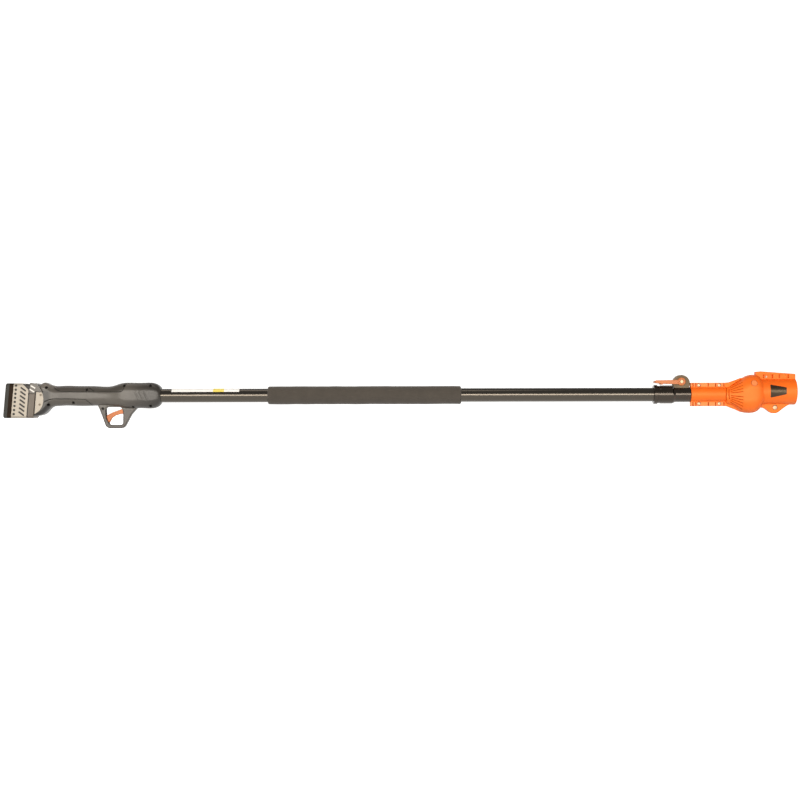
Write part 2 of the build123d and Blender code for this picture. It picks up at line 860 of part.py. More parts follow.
with BuildPart() as lever_nut:
    with BuildSketch(side.offset(-lever_outer - pin_play - nut_t)):
        with Locations(lever_pivot):
            RegularPolygon(nut_r, 6)
            Circle(lever_pin_r + 0.02, mode=Mode.SUBTRACT)
    extrude(amount=nut_t)
save(lever_nut, "lever_nut")

# Tool head: sleeve, bulb, barrel, top rail and lower lug, split down the middle
bulb_outline = (
    (-160.0, 18.6, -19.6, 18.4, 0.92, 0.0),
    (-149.0, 19.8, -25.0, 20.8, 0.92, 0.0),
    (-137.0, 25.2, -31.6, 25.2, 0.92, 0.0),
    (-125.0, 34.0, -39.8, 29.4, 0.95, 0.0),
    (-112.0, 42.4, -42.8, 32.4, 0.95, 0.0),
    (-100.0, 45.0, -42.8, 33.6, 0.95, 0.0),
    (-90.0, 44.6, -40.0, 33.4, 0.95, 0.0),
    (-82.0, 40.0, -33.4, 31.6, 0.95, 0.0),
    (-75.0, 35.0, -25.0, 29.4, 0.95, 0.0),
)
bulb_wall = 3.4
barrel_back = -92.0
barrel_edge = 1.2
rail_outline = ((-91, 28), (-91, 51.6), (-80, 52.6), (-1.5, 46.8), (0, 45.4), (0, 28))
rail_half_width = 9.0
rail_pockets = ((-72.7, -53.0), (-36.4, -17.0))
rail_pocket_low, rail_pocket_high = 36.0, 45.6
rail_pocket_floor = 5.4
lug_curve = (
    (-80.0, -31.0),
    (-68.0, -33.6),
    (-57.0, -41.6),
    (-46.0, -43.8),
    (-33.0, -36.2),
    (-21.0, -27.6),
    (-6.0, -22.0),
)
lug_top = -16.0
lug_half_width = 8.0
lug_edge = 1.0
sleeve_front = -148.0
flange_outline = (
    (head_back, -27.0),
    (-157.0, -27.0),
    (-137.0, -34.8),
    (-124.0, -40.8),
    (-112.0, -38.0),
    (-112.0, 38.0),
    (-124.0, 37.8),
    (-137.0, 32.8),
    (-151.0, 27.8),
    (-160.0, 26.8),
    (head_back, 26.8),
)
flange_lines = (-234.8, -228.2, -199.8, -182.6, -163.8)
flange_line_width = 2.4
flange_line_floor = 4.3
sleeve_bore_front = -130.0
throat_r = 22.0
connector_back, connector_front = -88.0, -74.0

bulb = rounded_loft(bulb_outline)
bulb_inside = rounded_loft(bulb_outline[2:-1], inset=bulb_wall)
rail = rounded_slab(side, rail_outline, rail_half_width, corner=1.2, edge=1.0)
flange = rounded_slab(side, flange_outline, flange_half_width, corner=1.6, edge=1.0)

with BuildPart() as lug:
    with BuildSketch(side):
        with BuildLine():
            Spline(*lug_curve)
            Polyline(
                lug_curve[-1],
                (lug_curve[-1][0], lug_top),
                (lug_curve[0][0], lug_top),
                lug_curve[0],
            )
        make_face()
    extrude(amount=lug_half_width, both=True)
    fillet(rims(lug, lug_half_width), lug_edge)

with BuildPart() as barrel:
    tube(barrel_back, 0, barrel_r, height=pole_drop)
    fillet(barrel.faces().sort_by(Axis.X)[-1].edges(), barrel_edge)

with BuildPart() as head_form:
    add(bulb)
    tube(head_back, sleeve_front, sleeve_r)
    add(flange)
    add(barrel.part)
    add(rail)
    add(lug.part)

with BuildPart() as head_hollow:
    add(head_form.part)
    add(bulb_inside, mode=Mode.SUBTRACT)
    tube(head_back - 1, sleeve_bore_front, inner_tube_r + 0.05, mode=Mode.SUBTRACT)
    tube(-socket_depth, 1, socket_r, height=pole_drop, mode=Mode.SUBTRACT)
    tube(connector_back - 2, -socket_depth + 1, throat_r, height=pole_drop, mode=Mode.SUBTRACT)
    for y_from, y_to in both_sides(flange_line_floor, big):
        for x in flange_lines:
            x_from = x - flange_line_width / 2
            x_to = x + flange_line_width / 2
            for low, high in both_sides(sleeve_r + 0.1, big):
                block(side, x_from, x_to, low, high, y_from, y_to, mode=Mode.SUBTRACT)
    for y_from, y_to in both_sides(rail_pocket_floor, big):
        for x_from, x_to in rail_pockets:
            block(side, x_from, x_to, rail_pocket_low, rail_pocket_high, y_from, y_to, mode=Mode.SUBTRACT)

# Bare badges let into the barrel
badge_outline = ((-62.2, 22.2), (-61.8, -8.0), (-25.4, -0.2), (-25.4, 15.6))
badge_t = 0.9
badge_proud = 0.3
badge_corner = 2.0
with BuildPart() as badges:
    tube(badge_outline[0][0] - 4, -20, barrel_r + badge_proud, barrel_r - badge_t, height=pole_drop)
    with BuildSketch(side):
        with BuildLine():
            Polyline(*badge_outline, close=True)
        badge_face = make_face()
        fillet(badge_face.vertices(), badge_corner)
    extrude(amount=big, both=True, mode=Mode.INTERSECT)

# Head shells, each with a badge and a round plug in the bulb
sleeve_screw_points = ((-221.0, 21.2), (-174.3, 21.2), (-221.0, -21.2), (-174.3, -21.2))
sleeve_screw_r = 4.2
sleeve_screw_t = 2.4
sleeve_shank_r = 1.8
sleeve_screw_tip = 5.0
head_screw_seat = 3.8
rail_screw_point = (-66.5, 40.0)
rail_screw_r = 3.0
rail_screw_t = 2.2
rail_shank_r = 1.4
rail_screw_tip = 4.6
lug_bolt_point = (-46.7, -30.4)
lug_bolt_r = 2.5
lug_bolt_head_r = 5.6
lug_seat = 5.6
plug_point = (-99.4, 25.8)
plug_y = 30.6
plug_r = 7.2
plug_gap = 0.5
plug_lean = radians(25)
plug_depth = 6.0
for hand, sign in hands:
    half = Keep.TOP if sign > 0 else Keep.BOTTOM
    plug_plane = Plane(
        origin=(plug_point[0], -sign * plug_y, plug_point[1] - pole_drop),
        x_dir=(1, 0, 0),
        z_dir=(0, -sign * cos(plug_lean), sin(plug_lean)),
    )
    with BuildPart() as head_shell:
        add(head_hollow.part)
        split(bisect_by=Plane.XZ, keep=half)
        add(badges.part, mode=Mode.SUBTRACT)
        with BuildSketch(plug_plane):
            Circle(plug_r + plug_gap)
        extrude(amount=2 * plug_depth, both=True, mode=Mode.SUBTRACT)
        if sign > 0:
            bars(side, sleeve_screw_points, sleeve_screw_r + 0.4, -big, -head_screw_seat, Mode.SUBTRACT)
            bars(side, sleeve_screw_points, sleeve_shank_r + 0.3, -big, 0, Mode.SUBTRACT)
            bars(side, [rail_screw_point], rail_shank_r + 0.3, -big, 0, Mode.SUBTRACT)
            bars(side, [lug_bolt_point], lug_bolt_head_r + 0.4, -big, -lug_seat, Mode.SUBTRACT)
        else:
            bars(side, sleeve_screw_points, sleeve_shank_r + 0.1, 0, sleeve_screw_tip + 0.4, Mode.SUBTRACT)
            bars(side, [rail_screw_point], rail_shank_r + 0.1, 0, rail_screw_tip + 0.4, Mode.SUBTRACT)
            bars(side, [lug_bolt_point], lug_bolt_head_r + 0.4, lug_seat, big, Mode.SUBTRACT)
        bars(side, [lug_bolt_point], lug_bolt_r + 0.2, -big, big, Mode.SUBTRACT)
    save(head_shell, f"head_shell_{hand}")

    with BuildPart() as badge:
        add(badges.part)
        split(bisect_by=Plane.XZ, keep=half)
    save(badge, f"badge_{hand}")

    with BuildPart() as head_plug:
        with BuildSketch(plug_plane.offset(-plug_depth)):
            Circle(plug_r)
        extrude(amount=plug_depth + 1.0)
        fillet(head_plug.edges().filter_by(GeomType.CIRCLE), 0.45)
    save(head_plug, f"head_plug_{hand}")

with BuildPart() as sleeve_screws:
    bars(side, sleeve_screw_points, sleeve_screw_r, -head_screw_seat - sleeve_screw_t, -head_screw_seat)
    bars(side, sleeve_screw_points, sleeve_shank_r, -head_screw_seat, sleeve_screw_tip)
save(sleeve_screws, "sleeve_screws")

with BuildPart() as rail_screw:
    bars(side, [rail_screw_point], rail_screw_r, -rail_pocket_floor - rail_screw_t, -rail_pocket_floor)
    bars(side, [rail_screw_point], rail_shank_r, -rail_pocket_floor, rail_screw_tip)
save(rail_screw, "rail_screw")

lug_head_t = 3.0
lug_nut_t = 2.4
with BuildPart() as lug_bolt:
    bars(side, [lug_bolt_point], lug_bolt_head_r, -lug_seat - lug_head_t, -lug_seat)
    bars(side, [lug_bolt_point], lug_bolt_r, -lug_seat, lug_seat + lug_nut_t + 0.4)
    fillet(lug_bolt.faces().sort_by(Axis.Y)[0].edges(), 1.0)
save(lug_bolt, "lug_bolt")

with BuildPart() as lug_nut:
    with BuildSketch(side.offset(-lug_seat - lug_nut_t)):
        with Locations(lug_bolt_point):
            RegularPolygon(lug_bolt_head_r - 0.2, 6)
            Circle(lug_bolt_r + 0.02, mode=Mode.SUBTRACT)
    extrude(amount=lug_nut_t)
save(lug_nut, "lug_nut")

# Connector at the bottom of the socket, and the lead that feeds it through the inner tube
pin_circle_r = 9.0
pin_hole_r = 2.0
pin_hole_depth = 8.0
lead_socket = 4.0
with BuildPart() as tool_connector:
    tube(connector_back, connector_front, throat_r - 0.2, height=pole_drop)
    with BuildSketch(across(connector_front, pole_drop)):
        with PolarLocations(pin_circle_r, 4):
            Circle(pin_hole_r)
    extrude(amount=-pin_hole_depth, mode=Mode.SUBTRACT)
    tube(connector_back, connector_back + lead_socket, lead_hole_r, mode=Mode.SUBTRACT)
save(tool_connector, "tool_connector")

with BuildPart() as inner_lead:
    tube(tail_back, connector_back + lead_socket, lead_hole_r - 0.1)
save(inner_lead, "inner_lead")
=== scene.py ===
# %% [markdown]
# # A battery pole with an empty tool head
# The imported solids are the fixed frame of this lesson: they say where every piece is, in metres.
# Each step below dresses one piece of the pole, and nothing in the frame is ever moved.

# %% Load the frame
import json
import math

import bpy
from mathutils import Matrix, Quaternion, Vector
from mathutils.bvhtree import BVHTree


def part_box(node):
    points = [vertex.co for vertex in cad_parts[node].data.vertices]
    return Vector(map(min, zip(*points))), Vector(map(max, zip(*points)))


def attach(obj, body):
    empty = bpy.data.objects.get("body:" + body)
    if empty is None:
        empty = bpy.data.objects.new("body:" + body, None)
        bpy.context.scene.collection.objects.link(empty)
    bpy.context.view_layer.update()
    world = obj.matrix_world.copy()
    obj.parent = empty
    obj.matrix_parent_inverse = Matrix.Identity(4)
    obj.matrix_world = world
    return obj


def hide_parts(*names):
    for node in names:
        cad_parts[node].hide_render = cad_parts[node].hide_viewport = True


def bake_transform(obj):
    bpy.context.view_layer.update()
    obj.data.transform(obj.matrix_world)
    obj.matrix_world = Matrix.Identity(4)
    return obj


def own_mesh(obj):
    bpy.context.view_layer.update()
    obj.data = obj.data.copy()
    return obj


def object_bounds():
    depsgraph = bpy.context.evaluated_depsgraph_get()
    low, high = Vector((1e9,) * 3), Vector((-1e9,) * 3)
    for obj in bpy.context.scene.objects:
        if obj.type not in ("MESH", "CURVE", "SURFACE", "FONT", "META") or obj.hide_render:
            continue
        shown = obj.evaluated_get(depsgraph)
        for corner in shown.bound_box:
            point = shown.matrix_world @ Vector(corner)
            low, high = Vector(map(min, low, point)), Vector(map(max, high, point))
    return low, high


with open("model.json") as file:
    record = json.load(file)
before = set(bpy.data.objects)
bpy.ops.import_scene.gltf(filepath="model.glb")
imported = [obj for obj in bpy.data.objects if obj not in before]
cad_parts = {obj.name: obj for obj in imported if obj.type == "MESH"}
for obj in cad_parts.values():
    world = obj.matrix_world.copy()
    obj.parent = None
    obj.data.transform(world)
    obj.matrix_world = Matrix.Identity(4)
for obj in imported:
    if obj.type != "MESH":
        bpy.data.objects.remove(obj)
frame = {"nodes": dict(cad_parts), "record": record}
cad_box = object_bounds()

mm = 0.001
side_sign = {"right": -1, "left": 1}
tube_low, tube_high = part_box("outer_tube")
tube_r = (tube_high.z - tube_low.z) / 2
pole_z = (tube_low.z + tube_high.z) / 2
print("nodes", len(frame["nodes"]), "pole axis", round(pole_z / mm, 2), "mm")

# %% [markdown]
# ## Camera
# The photograph is taken square to the pole's side with a long lens, so the pole fills the frame's width.
# One pixel of the 800 is 2.3 mm on the pole's middle plane, and that sets the distance for the lens.
# The pole leans by a fraction of a degree there, so the camera is rolled by as much.

# %% Camera
frame_px = 800
mm_per_px = 2.3
lens_mm = 67.5
sensor_mm = 36.0
aim_x, aim_z = -907.4 * mm, -17.3 * mm
roll_deg = 0.13
camera_distance = frame_px * mm_per_px * mm * lens_mm / sensor_mm

camera_data = bpy.data.cameras.new("camera")
camera_data.lens = lens_mm
camera_data.sensor_width = sensor_mm
camera = bpy.data.objects.new("camera", camera_data)
camera.location = (aim_x, -camera_distance, aim_z)
camera.rotation_euler = (math.radians(90), math.radians(roll_deg), 0)
bpy.context.scene.collection.objects.link(camera)
bpy.context.scene.camera = camera
print("camera", round(camera_distance, 3), "m away")

# %% [markdown]
# ## Small helpers
# In Blender's window a piece is clicked before a tool is used on it, and a script does the same by selecting.
# An operator acts on all that is selected, so one helper selects a single piece, and another selects the faces
# that pass a test. The last one gives a finished piece its material, sets it on its body, and hides the
# imported solids that it stands for.


# %% Helpers
def only(piece):
    """Select one object and make it the active one."""
    bpy.ops.object.select_all(action="DESELECT")
    piece.select_set(True)
    bpy.context.view_layer.objects.active = piece


def object_mode():
    """Leave edit mode."""
    bpy.ops.object.mode_set(mode="OBJECT")


def edit_all(piece):
    """Enter edit mode with everything on one piece selected, down to its loose vertices."""
    only(piece)
    bpy.ops.object.mode_set(mode="EDIT")
    bpy.ops.mesh.select_mode(type="VERT")
    bpy.ops.mesh.select_all(action="SELECT")


def pick_faces(piece, test):
    """Enter edit mode with only the faces selected that pass a test."""
    only(piece)
    bpy.ops.object.mode_set(mode="EDIT")
    bpy.ops.mesh.select_mode(type="FACE")
    bpy.ops.mesh.select_all(action="DESELECT")
    object_mode()
    for face in piece.data.polygons:
        face.select = test(face)
    bpy.ops.object.mode_set(mode="EDIT")


def modify(piece, kind, **settings):
    """Add a modifier with its settings and apply it."""
    only(piece)
    modifier = piece.modifiers.new(kind.lower(), kind)
    for key, value in settings.items():
        setattr(modifier, key, value)
    bpy.ops.object.modifier_apply(modifier=modifier.name)


def smooth(piece, angle=32):
    """Shade a piece smooth, apart from edges that bend by more than an angle in degrees."""
    only(piece)
    bpy.ops.object.shade_smooth_by_angle(angle=math.radians(angle))


def place(piece, body, finish, slot, *nodes):
    """Give a finished piece its material and its body, and hide the nodes that it stands for; the slot is not
    used.
    """
    if piece.data.materials:
        piece.data.materials[0] = finish
    else:
        piece.data.materials.append(finish)
    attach(piece, body)
    if nodes:
        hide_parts(*nodes)
    return piece


# %% [markdown]
# ## Finishes
# Almost everything here is moulded or drawn. One flat colour would look like a toy, and a picture of the
# finish would need an unwrapped mesh, so nodes work each finish out: a base colour that drifts a little over
# the piece, a fine grain that breaks the gloss, and a bump of the same grain. Patterns read Object
# coordinates in metres, and their scales come from real sizes in millimetres.

# %% Colour and node helpers
# A Mix node keeps sockets for every kind of value: these are its two colours, and its mixed colour
mix_a, mix_b, mix_out = 6, 7, 2


def linear(hex_colour):
    """Turn an sRGB hex colour into linear red, green, blue and alpha."""
    channels = [int(hex_colour[i : i + 2], 16) / 255 for i in (1, 3, 5)]
    return [c / 12.92 if c <= 0.04045 else ((c + 0.055) / 1.055) ** 2.4 for c in channels] + [1.0]


def add_node(tree, kind, sockets=None, **settings):
    """Add a node, set its properties, and link or fill its sockets; a hex colour is turned to linear."""
    node = tree.nodes.new(kind)
    for key, value in settings.items():
        setattr(node, key, value)
    for socket, value in (sockets or {}).items():
        if isinstance(value, bpy.types.NodeSocket):
            tree.links.new(value, node.inputs[socket])
        elif isinstance(value, str):
            node.inputs[socket].default_value = linear(value)
        else:
            node.inputs[socket].default_value = value
    return node


def per_metre(size_mm):
    """Texture scale of a pattern whose features are this many millimetres wide."""
    return 1 / (size_mm * mm)


def new_material(name):
    """An empty node material, with the place on the piece that its patterns read."""
    material = bpy.data.materials.new(name)
    material.use_nodes = True
    tree = material.node_tree
    tree.nodes.clear()
    return material, tree, add_node(tree, "ShaderNodeTexCoord").outputs["Object"]


print("mid grey in linear light", round(linear("#808080")[0], 3))

# %% [markdown]
# One moulding often wears two finishes, such as a soft grip on a handle. Two meshes would need a seam between
# them, so the material itself holds zones instead, and several zones here carry painted shade and painted
# highlights. A zone is drawn in the side view as a path in millimetres, and lies to the left of it.

# %% Zones
handle_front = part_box("handle_shell_right")[1].x
mouth_x = 0.0
crisp_mm = 0.1


def side_path(front, points):
    """Side-view points in millimetres from a front end and above the pole's axis, turned to metres."""
    return [(front + x * mm, pole_z + z * mm) for x, z in points]


def zone(tree, place_on, path, fade_mm):
    """1 on the side view's area to the left of a path of (x, z) points that turns left at each corner."""
    mask = None
    for (x0, z0), (x1, z1) in zip(path, path[1:]):
        normal = Vector((z0 - z1, 0.0, x1 - x0)).normalized()
        reach = normal.dot((x0, 0.0, z0))
        along = add_node(
            tree, "ShaderNodeVectorMath", {0: place_on, 1: normal[:]}, operation="DOT_PRODUCT"
        ).outputs["Value"]
        inside = add_node(
            tree,
            "ShaderNodeMapRange",
            {"Value": along, "From Min": reach, "From Max": reach + fade_mm * mm},
            interpolation_type="SMOOTHSTEP",
        ).outputs["Result"]
        if mask is not None:
            both = {0: mask, 1: inside}
            inside = add_node(tree, "ShaderNodeMath", both, operation="MULTIPLY").outputs["Value"]
        mask = inside
    return mask


print("handle's front at", round(handle_front / mm, 1), "mm")

# %% [markdown]
# A moulded face copies the grain of its mould, and its colour is never mixed quite evenly. So two noises make
# it: a broad one drifts between two near colours, and a fine one breaks the gloss and dents the face. A real
# grain is a few tenths of a millimetre, too fine to show from here, so it is drawn several times coarser.


# %% Moulded plastic
def moulded(
    name, colour, shade, rough, grain_mm, depth_mm,
    drift_mm=40, specular=0.5, gloss_tint="#FFFFFF", zones=(),
):
    """Moulded plastic: a drifting colour, a grain in gloss and bump, and zones of other colours."""
    patch_low, patch_high = 0.35, 0.65
    smoother, rougher = 0.06, 0.08
    material, tree, place_on = new_material(name)
    drift = add_node(
        tree, "ShaderNodeTexNoise", {"Vector": place_on, "Scale": per_metre(drift_mm), "Detail": 4}
    )
    grain = add_node(
        tree, "ShaderNodeTexNoise", {"Vector": place_on, "Scale": per_metre(grain_mm), "Detail": 3}
    ).outputs["Fac"]
    patch = add_node(
        tree,
        "ShaderNodeMapRange",
        {"Value": drift.outputs["Fac"], "From Min": patch_low, "From Max": patch_high},
    )
    tint = add_node(
        tree,
        "ShaderNodeMix",
        {"Factor": patch.outputs["Result"], mix_a: shade, mix_b: colour},
        data_type="RGBA",
    ).outputs[mix_out]
    for path, zone_colour, fade_mm in zones:
        inside = zone(tree, place_on, path, fade_mm)
        tint = add_node(
            tree, "ShaderNodeMix", {"Factor": inside, mix_a: tint, mix_b: zone_colour}, data_type="RGBA"
        ).outputs[mix_out]
    gloss = add_node(
        tree, "ShaderNodeMapRange", {"Value": grain, "To Min": rough - smoother, "To Max": rough + rougher}
    )
    bump = add_node(
        tree, "ShaderNodeBump", {"Height": grain, "Distance": depth_mm * mm, "Strength": 0.6}
    )
    shader = add_node(
        tree,
        "ShaderNodeBsdfPrincipled",
        {
            "Base Color": tint,
            "Specular IOR Level": specular,
            "Specular Tint": gloss_tint,
            "Roughness": gloss.outputs["Result"],
            "Normal": bump.outputs["Normal"],
        },
    )
    add_node(tree, "ShaderNodeOutputMaterial", {"Surface": shader.outputs["BSDF"]})
    return material


# Painted shade for the bottom of a groove between two mouldings: almost black, without gloss
groove_shade_nylon = moulded(
    "grey nylon with painted groove shade", "#1C1916", "#141210", rough=0.7, grain_mm=1.4, depth_mm=0.08
)
print("first finish", groove_shade_nylon.name)

# %% [markdown]
# The handle is glass-filled nylon from a spark-eroded mould, with a softer grip moulded over it. Its grey
# differs from place to place, partly as painted shade, and each zone below says where.

# %% Handle plastic
# The soft grip covers the palm above and below its middle, and is painted darker there as shade where the
# handle turns away from the light, most on the upper one
upper_grip_shade = side_path(handle_front, [(-258, 30), (-236, 9.4), (-89, 9.4), (-76, 30)])
lower_grip_shade = side_path(handle_front, [(-150, -30), (-172, -7.6), (-252, -7.6), (-272, -20)])
# Painted shade darkens the nose towards the tube, and tones down the broad highlight on its flat sides
nose_painted_shade = side_path(handle_front, [(-90, 30), (-90, -30)])
# The trigger guard is thin and flat, and lies in the shade of the palm
guard_arch = side_path(handle_front, [(-30, -27), (-150, -27), (-150, -60)])
# The foot that carries the battery is near black below, and paler on its hump
foot_end = side_path(handle_front, [(-248, -60), (-248, 17), (-300, 17)])
foot_hump = side_path(handle_front, [(-300, 15), (-236, 15), (-236, 30)])
# Each zone's path, its colour, and the millimetres over which its edge fades
handle_zones = (
    (upper_grip_shade, "#443F39", crisp_mm),
    (lower_grip_shade, "#524D46", crisp_mm),
    (nose_painted_shade, "#2E2A25", 80),
    (guard_arch, "#453F39", 8),
    (foot_end, "#1E1B17", 9),
    (foot_hump, "#6C665F", 8),
)
# Glass-filled nylon with a spark-eroded face: warm mid grey, satin, with a soft broad highlight
grey_nylon = moulded(
    "grey glass-filled nylon", "#58534C", "#4F4A44",
    rough=0.36, grain_mm=1.4, depth_mm=0.08, specular=0.48, zones=handle_zones,
)
print("zones on the handle", len(handle_zones))

# %% [markdown]
# The head, the trigger and the lever are all orange, but come from different moulds and batches, and the plugs
# are moulded apart too. So each gets its own orange: the plugs' is painted lighter, as light on their shaded
# faces, and the grooves in the head get a painted shade.

# %% Orange plastics
# The flanges above and below the sleeve are flat, and painted paler than the rest of the head, as the
# highlight their flat faces catch
upper_flange = side_path(mouth_x, [(-250, 17.9), (-162, 17.9), (-162, 40)])
lower_flange = side_path(mouth_x, [(-162, -40), (-162, -17.9), (-250, -17.9)])
flange_painted_highlight, flange_fade = "#FC8045", 0.6
# ABS, moulded and satin: a saturated orange that pales where it faces the light, with a painted highlight on
# its flanges
orange_abs = moulded(
    "orange ABS", "#FC6A00", "#F66200",
    rough=0.55, grain_mm=1.2, depth_mm=0.05, drift_mm=60, specular=1.0, gloss_tint="#FFF0A8",
    zones=((upper_flange, flange_painted_highlight, flange_fade), (lower_flange, flange_painted_highlight, flange_fade)),
)
# Painted shade for the bottom of a moulded line in the orange: a deeper orange, without gloss
orange_groove_shade = moulded(
    "orange ABS with painted groove shade", "#C64C00", "#B84400",
    rough=0.6, grain_mm=1.2, depth_mm=0.05, drift_mm=60, specular=0.05,
)
# The trigger and the lever are acetal: a duller, browner orange than the head, with a waxy shine
pale_orange = moulded(
    "pale orange acetal", "#CC712B", "#C06622", rough=0.42, grain_mm=1.0, depth_mm=0.05, drift_mm=30
)
# The plugs in the bulb are moulded apart from the head, and their orange is painted lighter, as light on faces
# that lie in shade
plug_painted_light_orange = moulded(
    "orange ABS painted lighter", "#F89050", "#F08848", rough=0.45, grain_mm=1.2, depth_mm=0.05, drift_mm=60
)
print("oranges", sum("orange" in material.name for material in bpy.data.materials))

# %% [markdown]
# The battery and the clamp are dark, and what tells their pieces apart is mostly gloss: polished by hands,
# matt from the mould, or soft rubber.

# %% Plastics of the clamp and the battery
# Black nylon at the clamp, polished by hands: dark, with one hard bright line
black_nylon = moulded(
    "black nylon", "#19130D", "#120D08",
    rough=0.22, grain_mm=1.3, depth_mm=0.04, specular=0.62, gloss_tint="#FFF0E0",
)
# The clamp's two ears are the collar's black nylon, painted a matt brown-grey as the reflection of the light
# in their flat faces
ear_painted_reflection = moulded(
    "black nylon painted grey as reflection", "#806F58", "#705F4A",
    rough=0.6, grain_mm=1.3, depth_mm=0.08, drift_mm=20, specular=0.2,
)
# The end cap's flat face is matt, so it stays brown although it faces the light
brown_abs = moulded(
    "dark brown ABS", "#2A1D10", "#20150A",
    rough=0.6, grain_mm=1.5, depth_mm=0.10, drift_mm=18, specular=0.12,
)
# Rubber on the battery's back edge: a dark grey that hardly shines
bumper_rubber = moulded(
    "grey rubber", "#403F3C", "#383734", rough=0.65, grain_mm=0.9, depth_mm=0.10, specular=0.3
)
# The latch buttons: a plain mid grey, satin, beside the browner case
latch_abs = moulded("light grey ABS", "#706B65", "#67625C", rough=0.42, grain_mm=1.2, depth_mm=0.06)
# The latches' ridges are white, so that the eye finds them
white_ridge = moulded("white ABS", "#F4F1EA", "#E8E4DC", rough=0.4, grain_mm=1.2, depth_mm=0.04)
# The badges are cast smooth: dark brown, with a warm clear reflection
badge_gloss = moulded(
    "dark glossy badge", "#352C24", "#281F18",
    rough=0.3, grain_mm=2.0, depth_mm=0.02, gloss_tint="#FFE2BC",
)
band_low, band_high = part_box("vent_band")
battery_lean = math.tan(math.radians(5.0))
core_depth = 37.0 * mm
core_front = band_low.x + core_depth
shade_under_band = (
    (core_front, band_low.z),
    (core_front + (band_high.z - band_low.z) * battery_lean, band_high.z),
)
# The battery's case: brown-grey ABS, painted almost black as shade on its core under the band, where the
# band's vents show it
case_abs = moulded(
    "brown-grey ABS", "#72685C", "#665C51",
    rough=0.48, grain_mm=1.4, depth_mm=0.08, zones=((shade_under_band, "#1E1915", crisp_mm),),
)
print("core behind the band to", round(core_front / mm, 1), "mm")

# %% [markdown]
# What lies inside the casings shows only when the pole is taken apart. Each piece still gets the finish of
# its real material, so that it can be told from its neighbours.

# %% Plastics inside
# Natural acetal in the bushes: milky white and waxy
acetal = moulded("natural acetal", "#D8D3C8", "#CBC5B9", rough=0.4, grain_mm=1.0, depth_mm=0.04)
# The board's solder mask: a deep green lacquer
board_mask = moulded("green solder mask", "#1F5C38", "#184B2D", rough=0.35, grain_mm=0.8, depth_mm=0.04)
# The cables' sheath: dull black rubber
cable_rubber = moulded("black cable rubber", "#191817", "#121110", rough=0.6, grain_mm=0.8, depth_mm=0.05)
# The cells' shrink sleeve: thin blue film with a soft shine
cell_sleeve = moulded("blue cell sleeve", "#4C6C96", "#3F5D85", rough=0.35, grain_mm=2.0, depth_mm=0.03)
print("plastics", len(bpy.data.materials))

# %% [markdown]
# Drawing a tube leaves fine marks along it, and plating or paint leaves even flakes. Both are one noise,
# which a Mapping node draws out along the pole where the metal was drawn. At 0.6 to 0.8 mm it is coarser than
# real marks and flakes, so that it still shows.


# %% Metal
def metal(name, colour, shade, rough, grain_mm, streak=1, metallic=1.0, specular=0.5, gloss_tint="#FFFFFF"):
    """Metal or metallic paint: a grain that can be drawn out along the pole."""
    gloss_swing = 0.07
    grain_depth = 0.02 * mm
    material, tree, place_on = new_material(name)
    drawn = add_node(tree, "ShaderNodeMapping", {"Vector": place_on, "Scale": (1 / streak, 1.0, 1.0)})
    grain = add_node(
        tree,
        "ShaderNodeTexNoise",
        {"Vector": drawn.outputs["Vector"], "Scale": per_metre(grain_mm), "Detail": 4},
    ).outputs["Fac"]
    tint = add_node(tree, "ShaderNodeMix", {"Factor": grain, mix_a: shade, mix_b: colour}, data_type="RGBA")
    gloss = add_node(
        tree,
        "ShaderNodeMapRange",
        {"Value": grain, "To Min": rough - gloss_swing, "To Max": rough + gloss_swing},
    )
    bump = add_node(tree, "ShaderNodeBump", {"Height": grain, "Distance": grain_depth, "Strength": 0.5})
    shader = add_node(
        tree,
        "ShaderNodeBsdfPrincipled",
        {
            "Base Color": tint.outputs[mix_out],
            "Metallic": metallic,
            "Specular IOR Level": specular,
            "Specular Tint": gloss_tint,
            "Roughness": gloss.outputs["Result"],
            "Normal": bump.outputs["Normal"],
        },
    )
    add_node(tree, "ShaderNodeOutputMaterial", {"Surface": shader.outputs["BSDF"]})
    return material


# Drawn aluminium under a black anodised skin, which is no metal: near black, mirror-like along its length
black_anodised = metal(
    "black anodised aluminium", "#1B1916", "#110F0D",
    rough=0.20, grain_mm=0.8, streak=60, metallic=0.0, specular=0.9, gloss_tint="#FFF2E0",
)
# The inner tube is polished before it is anodised, so that it slides: darker, with a harder bright line
polished_black = metal(
    "polished black aluminium", "#141210", "#0B0A08",
    rough=0.12, grain_mm=0.8, streak=60, metallic=0.0, specular=0.5, gloss_tint="#FFF2E0",
)
# Metallic paint over a pressed plate: warm silver, with fine flakes
silver_paint = metal("silver paint", "#B0A89B", "#A39A8C", rough=0.45, grain_mm=0.6, metallic=0.2)
# Yellow-passivated zinc: cream-coloured heads that stay bright in the orange
zinc_steel = metal("zinc-plated steel", "#C4A688", "#B29577", rough=0.5, grain_mm=0.7)
# Screws deep in the handle are painted near black, as the shade in their holes, and hardly show
hole_shade_steel = metal("steel painted black as hole shade", "#14110E", "#0C0A08", rough=0.5, grain_mm=0.7, metallic=0.6)
# The small screws of the foot's plate: bare steel that has gone dull and brown
dull_steel = metal("dull steel", "#6E665B", "#5F574D", rough=0.45, grain_mm=0.7, metallic=0.8)
# Spring wire: clean grey, with a bright line along each turn
spring_steel = metal("spring steel", "#A8A49C", "#96928A", rough=0.3, grain_mm=0.6)
# Contacts of brass, rubbed bright each time the battery slides on
bright_brass = metal("bright brass", "#E0B968", "#CFA655", rough=0.28, grain_mm=0.7)
print("materials", len(bpy.data.materials))

# %% [markdown]
# The long grip is closed-cell foam: matt, with small open cells on its cut skin. Voronoi cells give round
# pits where a noise would give waves. They are drawn a little coarser than the real half millimetre, so that
# they still show.

